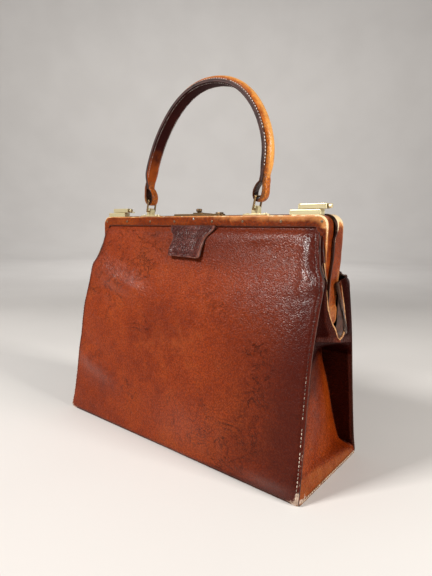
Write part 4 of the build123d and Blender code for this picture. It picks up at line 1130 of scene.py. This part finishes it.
# ---------------------------------------------------------------------------
# frame covers: leather wrapped round an inverted U
# ---------------------------------------------------------------------------
def frame_cover(name, half, top, rad, low_bar, inner_x, y_face, y_back, side, z_end, seed, crown_wear_and_light=0.0):
    """y_face and y_back are curves of the leg's two edges by height; side is -1 where the face looks to the front"""
    cx, cz = half - rad, top - rad
    st = []          # outer (x, z), inner flange (x, z), normal towards the inside
    for z in np.linspace(z_end, cz, 44)[:-1]:
        if z >= 188.5:
            t = (z - 188.5) / (low_bar - 188.5)
            fx = (half - 1.5) + (inner_x - (half - 1.5)) * min(1, t)
        else:
            fx = half - 1.1
        lap = 1.35 * float(smooth(150.5, 146.6, z)) if side > 0 else 0.0
        st.append(((half + lap, z), (fx + lap, min(z, low_bar)), (-1.0, 0.0)))
    for i in range(13):
        a = math.radians(90 * i / 12)
        st.append(((cx + rad * math.cos(a), cz + rad * math.sin(a)), (inner_x, low_bar), (-math.cos(a), -math.sin(a))))
    right = st
    bar = [((x, top), (x, low_bar), (0.0, -1.0)) for x in np.linspace(inner_x - 1.2, -(inner_x - 1.2), 140)]
    left = [((-a[0], a[1]), (-b[0], b[1]), (-n[0], n[1])) for a, b, n in reversed(right)]
    st = right + bar + left
    m = len(st)
    secs = []
    t = 1.1
    for (ox, oz), (fx, fz), (nx, nz) in st:
        yf, yb = float(y_face(oz)), float(y_back(oz))
        o = np.array([ox, oz])
        f = np.array([fx, fz])
        n = np.array([nx, nz])
        span = np.linalg.norm(f - o)
        d = (f - o) / max(span, 1e-6)
        into = -side        # from the face towards the back
        pts = []
        # back edge of the wrap, rounded
        pts.append((o + n * t, yb))
        pts.append((o + n * 0.75, yb - into * -0.10))
        pts.append((o + n * 0.3, yb + into * 0.02))
        pts.append((o + n * 0.0, yb - into * 0.35))
        for q in (0.85, 0.7, 0.55, 0.4, 0.28):
            pts.append((o, yf + (yb - yf) * q))
        r = min(1.7, span * 0.45, abs(yb - yf) * 0.3)
        for k in range(6):
            a = math.radians(90 * k / 5)
            pts.append((o + d * r * (1 - math.cos(a)), yf + into * r * (1 - math.sin(a))))
        for q in (0.3, 0.5, 0.7, 0.85):
            pts.append((o + d * (r + (span - r) * q), yf))
        e = min(0.5, span * 0.2)
        pts.append((o + d * (span - e), yf))
        pts.append((o + d * (span - e * 0.3), yf + into * 0.15))
        pts.append((o + d * span, yf + into * 0.5))
        pts.append((o + d * (span - 0.15), yf + into * 1.05))
        pts.append((o + d * max(span - 1.0, t), yf + into * 1.1))
        pts.append((o + n * t, yf + into * 1.1))
        secs.append([(p[0], y, p[1]) for p, y in pts])
    V = np.array(secs)
    k = V.shape[1]
    wob = wander(V[..., 0], V[..., 1], V[..., 2], 30.0, seed, 2) * 0.16 + wander(V[..., 0], V[..., 1], V[..., 2], 7.0, seed + 1, 2) * 0.07
    V[..., 1] += wob * (np.arange(k) > 8) * (np.arange(k) < 21)
    V[..., 2] += wob * ((np.arange(k) > 3) & (np.arange(k) < 15)) * (V[..., 2] > top - 4) * 0.7
    edge = np.zeros(k)
    edge[9:15] = [0.35, 0.8, 1.0, 0.9, 0.5, 0.15]
    tip = np.zeros(k)
    tip[:4] = [0.2, 0.7, 0.9, 0.5]
    tip[19:23] = [0.3, 0.6, 0.6, 0.3]
    patch = 0.5 + 0.5 * wander(V[..., 0], V[..., 1], V[..., 2], 26.0, seed + 5, 2)
    cornered = gauss(np.hypot(np.abs(V[..., 0]) - half + 3, V[..., 2] - top + 3), 8.0)
    # painted highlight with rubbed wear: the rounded top edge and the corners lighter
    light = edge[None, :] * (0.45 + 0.6 * patch) + 0.28 * cornered
    wear = edge[None, :] * (0.22 + 0.40 * patch) + 0.30 * cornered * (edge[None, :] + 0.3)
    crown = np.zeros(k)
    crown[1:10] = 1.0
    light = light + crown_wear_and_light * cornered * crown[None, :] * 0.9
    wear = wear + crown_wear_and_light * cornered * crown[None, :] * 0.70
    if side < 0:
        face = np.zeros(k)
        face[12:18] = [0.5, 0.9, 0.9, 0.8, 0.45, 0.15]
        # painted highlight with a little rubbed wear on the upper face band, stronger towards the right
        rubbed = face[None, :] * smooth(-40, 110, V[..., 0]) * (V[..., 2] > low_bar - 1) * (0.35 + 0.75 * patch)
        light = light + 0.75 * rubbed
        wear = wear + 0.26 * rubbed
    front_tip = np.zeros(k)
    front_tip[0:5] = [0.4, 0.8, 1.0, 0.8, 0.4]
    wear = wear + crown_wear_and_light * front_tip[None, :] * (0.34 + 0.30 * patch) * smooth(185, 200, V[..., 2])
    # painted light on the lit outer side of the rear frame's leg
    light = light + crown_wear_and_light * 0.34 * crown[None, :] * smooth(205, 150, V[..., 2])
    dark = tip[None, :] * 0.6 + 0.12
    # painted shadow line along the bar's lower edge
    dark = dark + 0.25 * gauss(V[..., 2] - low_bar, 1.6) * (np.abs(V[..., 0]) < inner_x)
    faces, fm = [], []
    for i in range(m - 1):
        for j in range(k):
            j2 = (j + 1) % k
            faces.append((i * k + j, i * k + j2, (i + 1) * k + j2, (i + 1) * k + j))
            fm.append(1 if j in (0, 1, 2) or j in (19, 20, 21) else 0)
    faces.append(tuple(range(k)))
    faces.append(tuple(reversed([(m - 1) * k + j for j in range(k)])))
    fm += [1, 1]
    return make_object(name, V.reshape(-1, 3), faces, [frame_leather, dark_edge], fm,
                       {"dark": dark.reshape(-1), "light": light.reshape(-1), "wear": wear.reshape(-1)}, 50)


ff = mono([(-12.2, 224), (-12.2, 186), (-10.2, 158), (-9.6, 149.5)])
fb = mono([(-0.6, 224), (-0.6, 190), (2.9, 160), (3.4, 149.5)])
cov_f = frame_cover("front_frame_wrap", 142.7, 224.0, 9.0, 213.8, 132.4, ff, fb, -1, 149.5, 71)
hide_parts("front_frame_cover")
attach(cov_f, "bag")
rf = mono([(13.2, 225), (13.2, 205), (11.0, 188), (7.2, 169), (4.7, 155), (4.4, 149.5), (4.2, 142), (3.4, 138.2), (1.7, 136.0), (-0.8, 134.8)])
rb = mono([(0.6, 225), (0.6, 209.3), (-3.0, 205.3), (-4.0, 190), (-8.6, 167), (-9.6, 149.5), (-9.2, 142), (-8.4, 138.2), (-6.7, 136.0),
           (-4.2, 134.8)])
cov_r = frame_cover("rear_frame_wrap", 145.6, 225.0, 10.5, 214.6, 132.8, rf, rb, 1, 134.8, 81, 1.0)
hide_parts("rear_frame_cover")
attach(cov_r, "rear_frame")


# ---------------------------------------------------------------------------
# pull tab
# ---------------------------------------------------------------------------
def make_tab():
    yz = mono([(-14.5, 214.2), (-15.2, 211.6), (-17.3, 208), (-20.4, 200), (-24.6, 192), (-27.6, 184.2)])
    left = mono([(-29.3, 214.2), (-28.9, 211.0), (-26.0, 207.6), (-22.6, 205.0), (-21.4, 201.0), (-21.5, 192.0), (-21.2, 186.0), (-20.0, 184.2)])
    right = mono([(29.4, 214.2), (28.3, 210.6), (25.4, 207.2), (21.9, 204.2), (19.8, 199.0), (19.6, 190.0), (19.8, 186.0), (18.6, 184.2)])
    nu, nv = 61, 45
    zl = np.linspace(214.2, 184.2, nv)
    u = np.linspace(0, 1, nu)
    U, Z = np.meshgrid(u, zl, indexing="ij")
    X = left(Z) + (right(Z) - left(Z)) * U
    Y = yz(Z)
    e = np.minimum(U, 1 - U)
    Y = Y + 1.0 * np.clip(1 - e / 0.06, 0, 1) ** 2
    Y -= 1.5 * smooth(0.80, 0.97, U) * smooth(211, 200, Z) * smooth(0.0, 0.03, 1 - U)
    Y -= 0.8 * smooth(0.16, 0.05, U) * smooth(206, 192, Z)
    Y -= 0.9 * smooth(0.82, 1.0, U) * smooth(203, 212, Z)
    Y += 0.5 * gauss(Z - 186.6, 1.0) + 0.4 * gauss(e - 0.06, 0.02)
    Y += 0.35 * wander(X, 0, Z, 9.0, 91, 3)
    Z2 = Z - 0.9 * (U - 0.5) * smooth(200, 184, Z) + 0.25 * wander(X, 0, Z, 12.0, 92, 2) * smooth(190, 184, Z)
    outer = np.stack([X, Y, Z2], axis=2)
    inner = outer.copy()
    inner[..., 1] += 1.9
    rim = np.minimum(np.minimum(e / 0.05, (Z - 184.2) / 1.6), 1.0)
    patch = 0.5 + 0.5 * wander(X, 0, Z, 7.0, 93, 2)
    # edges painted lighter: rubbed wear together with a painted highlight; the folded right lobe painted lighter as a
    # painted highlight
    wear = (1 - rim) * (0.18 + 0.4 * patch)
    light = (1 - np.clip(rim, 0, 1)) * 0.5 + 0.16 * smooth(0.8, 1.0, U)
    dark = 0.15 + 0.25 * gauss(Z - 206, 5)
    ob = sheet_solid("pull_tab_leather", outer, inner, [tab_leather, flesh_side, dark_edge], {"dark": dark, "light": light, "wear": wear}, bulge=0.45)
    return ob, outer


tab, tab_grid = make_tab()
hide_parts("pull_tab")
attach(tab, "bag")


# ---------------------------------------------------------------------------
# handle
# ---------------------------------------------------------------------------
def resample(points, n):
    """Catmull-Rom through (x, z) points, n even steps by length"""
    p = np.array(points, float)
    a = np.vstack([2 * p[0] - p[1], p, 2 * p[-1] - p[-2]])
    out = []
    for i in range(1, len(a) - 2):
        for t in np.linspace(0, 1, 14, endpoint=False):
            t2, t3 = t * t, t * t * t
            out.append(0.5 * ((2 * a[i]) + (-a[i - 1] + a[i + 1]) * t + (2 * a[i - 1] - 5 * a[i] + 4 * a[i + 1] - a[i + 2]) * t2
                              + (-a[i - 1] + 3 * a[i] - 3 * a[i + 1] + a[i + 2]) * t3))
    out.append(a[-2])
    out = np.array(out)
    s = np.concatenate([[0], np.cumsum(np.linalg.norm(np.diff(out, axis=0), axis=1))])
    q = np.linspace(0, s[-1], n)
    return np.stack([np.interp(q, s, out[:, 0]), np.interp(q, s, out[:, 1])], axis=1), s[-1]


def frames_of(path, flip=1.0):
    t = np.gradient(path, axis=0)
    t /= np.linalg.norm(t, axis=1, keepdims=True)
    n = np.stack([-t[:, 1], np.zeros(len(t)), t[:, 0]], axis=1) * flip
    c = np.stack([path[:, 0], np.full(len(path), YC), path[:, 1]], axis=1)
    return c, n


path, strap_len = resample(STRAP_XZ, 230)
centre, normal = frames_of(path)
if normal[115, 2] < 0:
    normal = -normal
arc = np.linspace(0, strap_len, len(path))
end = np.minimum(arc, strap_len - arc)
neck = smooth(0, 17, end)                       # 0 at the loops, 1 along the strap


def crown_section(i):
    """half of the outer leather's outline, from the back edge over the crown"""
    w = 4.3 + (8.0 - 4.3) * neck[i]
    c = 3.7 + (5.3 - 3.7) * neck[i]
    h = 4.6 + (5.6 - 4.6) * neck[i]
    flange = 1.55
    pts = [(-w + 0.15, 0.05), (-w - 0.02, 0.45), (-w, 1.05), (-w + 0.3, 1.48)]
    if w - c > 0.8:
        pts += [(-w + 0.75, flange + 0.05), (-c - 0.75, flange - 0.28), (-c - 0.3, flange + 0.15)]
    else:
        g = (w - c) / 3
        pts += [(-w + 0.35 + g * 0.2, flange), (-w + 0.4 + g * 0.5, flange + 0.05), (-c + 0.0, flange + 0.3)]
    for a in np.linspace(18, 90, 8):
        r = math.radians(a)
        pts.append((-c * math.cos(r) ** 0.9, flange + (h - flange) * math.sin(r) ** 0.85))
    half = pts
    other = [(-a, b) for a, b in reversed(half[:-1])]
    bottom = [(w * 0.55, -0.02), (0.0, -0.02), (-w * 0.55, -0.02)]
    return half + other + bottom


sec = np.array([crown_section(i) for i in range(len(path))])
k = sec.shape[1]
sec[..., 1] += (sec[..., 1] > 2.0) * wander(centre[:, None, 0], sec[..., 0], centre[:, None, 2], 11.0, 101, 2) * 0.10
grid_y = sec[..., 0]
edgey = np.clip((np.abs(grid_y) - 5.4) / 1.8, 0, 1) * neck[:, None]
patch = 0.5 + 0.5 * wander(centre[:, None, 0], sec[..., 0] * 0.4, centre[:, None, 2], 16.0, 103, 3)
height = np.clip((sec[..., 1] - 1.6) / 4.0, 0, 1)
# the crown is painted lighter towards its top: painted light from above
h_light = 0.60 * height ** 2 + 0.16
# painted shade in the groove where the crown rises from the flange, with darker flange edges and loop ends
h_dark = 0.85 * gauss(sec[..., 1] - 1.4, 0.7) * (np.abs(grid_y) < 7.4) + 1.0 * edgey + 0.12 * (1 - neck[:, None])
h_wear = edgey * (0.02 + 0.16 * patch) + 0.20 * patch * height * gauss(centre[:, None, 0] - 66, 34)
edge_faces = [1 if (abs(sec[115, j, 0]) > 7.6 and sec[115, j, 1] < 1.4) or (abs(sec[115, (j + 1) % k, 0]) > 7.6 and sec[115, (j + 1) % k, 1] < 1.1) else 0
              for j in range(k)]
outer_handle = tube_sweep("handle_padded", centre, normal, sec, [handle_leather, grey_edge], edge_faces,
                          {"dark": h_dark, "light": h_light, "wear": h_wear})
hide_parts("handle_outer")
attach(outer_handle, "handle")


def inner_section(i):
    w = 4.2 + (7.95 - 4.2) * neck[i]
    pts = []
    for a in np.linspace(0, 1, 17):
        y = w * (1 - 2 * a)
        bulge = -0.55 * (1 - (y / w) ** 2) * neck[i]
        dip = 0.28 * math.exp(-((abs(y) - (w - 1.6)) / 0.5) ** 2)
        edge = 0.55 * max(0.0, 1 - (w - abs(y)) / 0.7) ** 2
        pts.append((y, -1.95 + bulge + dip + edge))
    return [(-w + 0.05, -0.75), (-w + 0.1, -0.06), (0.0, -0.06), (w - 0.1, -0.06), (w - 0.05, -0.75)] + pts


sec_i = np.array([inner_section(i) for i in range(len(path))])
ki = sec_i.shape[1]
# painted light on the lower left leg's underside and a little at the lower right; painted shade over the rest of the
# underside
low_left = np.clip((312 - centre[:, 2]) / 58, 0, 1) ** 1.2 * (centre[:, 0] < 0)
low_right = gauss(centre[:, 0] - 78, 14) * smooth(300, 254, centre[:, 2])
i_light = np.repeat((1.05 * low_left + 0.25 * low_right)[:, None], ki, axis=1)
i_dark = 0.45 * (1 - low_left[:, None]) + 0.25 * (np.abs(sec_i[..., 0]) > 6.8)
i_wear = 0.22 * (np.abs(sec_i[..., 0]) > 7.4) * patch[:, :1]
edge_i = [1 if abs(sec_i[115, j, 0]) > 7.5 and abs(sec_i[115, (j + 1) % ki, 0]) > 7.5 else 0 for j in range(ki)]
inner_handle = tube_sweep("handle_underside", centre, normal, sec_i, [handle_inner_leather, grey_edge], edge_i,
                          {"dark": i_dark, "light": i_light, "wear": i_wear})
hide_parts("handle_inner")
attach(inner_handle, "handle")

rows = []
run = slice(9, len(path) - 9)
half_now = (4.3 + 3.7 * neck[run])[:, None]
for k2, sy in enumerate((-1, 1)):
    p = centre[run] + normal[run] * 1.42 + np.array([[0, sy, 0]]) * (half_now - 1.1)
    rows.append(stitch_row(p, normal[run], length=2.0, pitch=2.9, radius=0.37, seed=111 + k2, tone=lambda f, r: r.uniform(0.55, 1.15), skip=0.06, tilt=7))
    p = centre[run] + normal[run] * -1.75 + np.array([[0, sy, 0]]) * (half_now - 1.6)
    rows.append(stitch_row(p, -normal[run], length=1.9, pitch=2.6, radius=0.30, seed=121 + k2, tone=lambda f, r: r.uniform(0.3, 0.95), skip=0.03, tilt=4))
hs = stitch_object("handle_stitches", rows, handle_thread)
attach(hs, "handle")


def make_loop(name, bar, end_xz, tangent_in, seed, shade):
    """leather neck that comes down the outside, wraps the ring's bar and returns up the inside"""
    b = np.array(bar)
    e = np.array(end_xz)
    t = (e - b) / np.linalg.norm(e - b)
    out = np.array([-t[1], t[0]])
    # outward side of the arch
    centre_arch = np.array([5.0, 290.0])
    if np.dot(out, b - centre_arch) < 0:
        out = -out
    L = np.linalg.norm(e - b)
    ti = np.array(tangent_in)
    line = [e + ti * 7 + out * 2.7, e + out * 3.0]
    for o_, t_ in ((3.9, 9.0), (4.7, 5.6), (4.9, 2.2), (4.1, -1.2), (2.2, -3.3), (-0.4, -3.7), (-2.8, -2.2), (-4.3, 0.8), (-4.8, 4.2),
                   (-4.1, 7.8), (-2.7, 10.8)):
        line.append(b + out * o_ + t * t_ * (L / 13.0 if t_ > 6 else 1.0))
    line += [e - out * 1.3, e + ti * 7 - out * 1.3]
    pts, total = resample([tuple(q) for q in line], 84)
    c, n = frames_of(pts)
    # normals point away from the bar
    away = np.array([[q[0] - bar[0], 0, q[1] - bar[1]] for q in pts])
    sign = np.sign((n * away).sum(axis=1))
    n *= np.sign(sign[40])
    s = np.linspace(0, 1, len(pts))
    m_ = len(pts)
    secs = []
    for i in range(m_):
        near = 1 - smooth(0.0, 0.16, min(s[i], 1 - s[i]))
        w = 4.3 + 0.5 * near + 0.25 * math.exp(-((s[i] - 0.33) / 0.12) ** 2)
        thick_out = 1.1 + 2.5 * smooth(0.0, 0.12, s[i]) * smooth(0.50, 0.34, s[i])
        if s[i] > 0.5:
            thick_out = 1.1
        thick_in = 0.95
        row = []
        for q in range(20):
            a = 2 * math.pi * q / 20
            ca, sa = math.cos(a), math.sin(a)
            yy = w * math.copysign(abs(ca) ** 0.55, ca)
            hh = (thick_out if sa > 0 else thick_in) * math.copysign(abs(sa) ** (0.75 if sa > 0 else 0.5), sa)
            row.append((yy, hh))
        secs.append(row)
    secs = np.array(secs)
    secs[..., 1] += wander(c[:, None, 0], secs[..., 0], c[:, None, 2], 4.0, seed, 2) * 0.12 * (secs[..., 1] > 0.6)
    # painted light on each loop's outer run; painted shade on the returning inner run, set by shade, and underneath
    outside = np.repeat((smooth(0.5, 0.4, s))[:, None], 20, axis=1)
    edge = (np.abs(secs[..., 0]) > 4.0) * 1.0
    lightv = 0.22 * outside
    darkv = 0.06 + shade * (1 - outside) + 0.55 * edge + 0.9 * (secs[..., 1] < -0.3)
    wearv = 0.25 * edge + 0.10
    ob = tube_sweep(name, c, n, secs, [handle_leather], None, {"dark": darkv, "light": lightv, "wear": wearv})
    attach(ob, "handle")
    return ob


t0 = path[6] - path[0]
t1 = path[-7] - path[-1]
make_loop("left_handle_loop", L_BAR, tuple(path[0]), t0 / np.linalg.norm(t0), 131, 0.12)
make_loop("right_handle_loop", R_BAR, tuple(path[-1]), t1 / np.linalg.norm(t1), 141, 0.62)


# ---------------------------------------------------------------------------
# CAD parts that show as they are
# ---------------------------------------------------------------------------
finish = {
    "base_board": board_mat, "front_frame": frame_steel, "rear_frame": frame_steel,
    "front_frame_nails": nail_metal, "rear_frame_nails": nail_metal, "face_rivet": bright_metal,
    "left_hinge_rivet": nail_metal, "right_hinge_rivet": nail_metal, "left_hinge_washer": nail_metal, "right_hinge_washer": nail_metal,
    "left_catch_base": pale_brass, "right_catch_base": pale_brass, "left_catch_slider": pale_brass, "right_catch_slider": pale_brass,
    "left_catch_stud": pale_brass, "right_catch_stud": pale_brass, "lock_plate": dark_bronze, "lock_slide": dark_bronze,
    "lock_boss": dark_bronze, "lock_stud": dark_bronze, "left_handle_plate": pale_brass, "right_handle_plate": pale_brass,
    "left_handle_ring": aged_brass, "right_handle_ring": aged_brass,
}
for name, mat in finish.items():
    ob = nodes[name]
    if not ob.material_slots:
        ob.data.materials.append(mat)
    for sl in ob.material_slots:
        sl.material = mat


# ---------------------------------------------------------------------------
# studio: round pale sweep, two soft lamps, camera
# ---------------------------------------------------------------------------
def make_studio():
    prof = [(0.0, 0.0), (0.25, 0.0), (0.6, 0.0), (1.2, 0.0), (2.0, 0.0), (2.8, 0.0)]
    for i in range(1, 17):
        a = math.radians(90 * i / 16)
        prof.append((2.8 + 1.6 * math.sin(a), 1.6 - 1.6 * math.cos(a)))
    prof += [(4.4, 2.4), (4.4, 3.4)]
    n = 96
    verts, faces = [], []
    for r, z in prof:
        for i in range(n):
            a = 2 * math.pi * i / n
            verts.append((r * math.cos(a) if r else 0.0, r * math.sin(a) if r else 0.0, z))
    for l in range(len(prof) - 1):
        for i in range(n):
            j = (i + 1) % n
            faces.append((l * n + i, l * n + j, (l + 1) * n + j, (l + 1) * n + i))
    me = bpy.data.meshes.new("studio_floor")
    me.from_pydata(verts, [], faces)
    bm = bmesh.new()
    bm.from_mesh(me)
    bmesh.ops.remove_doubles(bm, verts=bm.verts, dist=1e-6)
    bmesh.ops.recalc_face_normals(bm, faces=bm.faces)
    for f in bm.faces:
        f.smooth = True
    bm.to_mesh(me)
    bm.free()
    ob = bpy.data.objects.new("studio_floor", me)
    bpy.context.scene.collection.objects.link(ob)
    m = Mat("studio_paper")
    n1 = m.noise(3.0, 2.0, 0.5)
    m.put("Base Color", m.mix(m.span(n1, 0.3, 0.7), (0.70, 0.675, 0.65), (0.73, 0.705, 0.68)))
    m.put("Roughness", 0.85)
    m.put("Specular IOR Level", 0.2)
    me.materials.append(m.m)
    return ob


make_studio()


def lamp(name, where, aim, size, power, colour, size_y=None):
    l = bpy.data.lights.new(name, "AREA")
    l.shape = "RECTANGLE"
    l.size = size
    l.size_y = size_y or size
    l.energy = power
    l.color = colour
    ob = bpy.data.objects.new(name, l)
    ob.location = where
    ob.rotation_mode = "QUATERNION"
    ob.rotation_quaternion = (Vector(aim) - Vector(where)).to_track_quat("-Z", "Y")
    bpy.context.scene.collection.objects.link(ob)
    return ob


lamp("key_front", (-0.52, -1.12, 1.18), (0.0, 0.0, 0.12), 0.34, 27.0, (1.0, 0.98, 0.95))
lamp("side_right", (1.25, 0.10, 0.68), (0.05, 0.0, 0.14), 0.34, 16.5, (1.0, 0.97, 0.92))
lamp("wall_wash", (-0.9, 1.1, 1.9), (-2.9, 3.2, 0.9), 1.2, 45.0, (1.0, 0.99, 0.98))

world = bpy.data.worlds.new("studio_world")
bpy.context.scene.world = world
world.use_nodes = True
bg = world.node_tree.nodes["Background"]
bg.inputs["Color"].default_value = (0.97, 0.97, 1.0, 1.0)
bg.inputs["Strength"].default_value = 0.16

yaw, pitch, roll = (math.radians(v) for v in (38.675, 7.401, 0.935))
fh = Vector((-math.sin(yaw), math.cos(yaw), 0))
rt = Vector((math.cos(yaw), math.sin(yaw), 0))
up0 = Vector((0, 0, 1))
fwd = fh * math.cos(pitch) - up0 * math.sin(pitch)
up = fh * math.sin(pitch) + up0 * math.cos(pitch)
right = rt * math.cos(roll) + up * math.sin(roll)
up2 = -rt * math.sin(roll) + up * math.cos(roll)
cam_data = bpy.data.cameras.new("camera")
cam_data.sensor_fit = "AUTO"
cam_data.sensor_width = 36.0
cam_data.lens = 27.38
cam_data.clip_start = 0.01
cam_data.clip_end = 50.0
cam = bpy.data.objects.new("camera", cam_data)
bpy.context.scene.collection.objects.link(cam)
back = -fwd
cam.matrix_world = Matrix(((right.x, up2.x, back.x, 0.2934), (right.y, up2.y, back.y, -0.3409), (right.z, up2.z, back.z, 0.2094), (0, 0, 0, 1)))
bpy.context.scene.camera = cam
bpy.context.scene.view_settings.view_transform = "Standard"
bpy.context.scene.view_settings.look = "None"
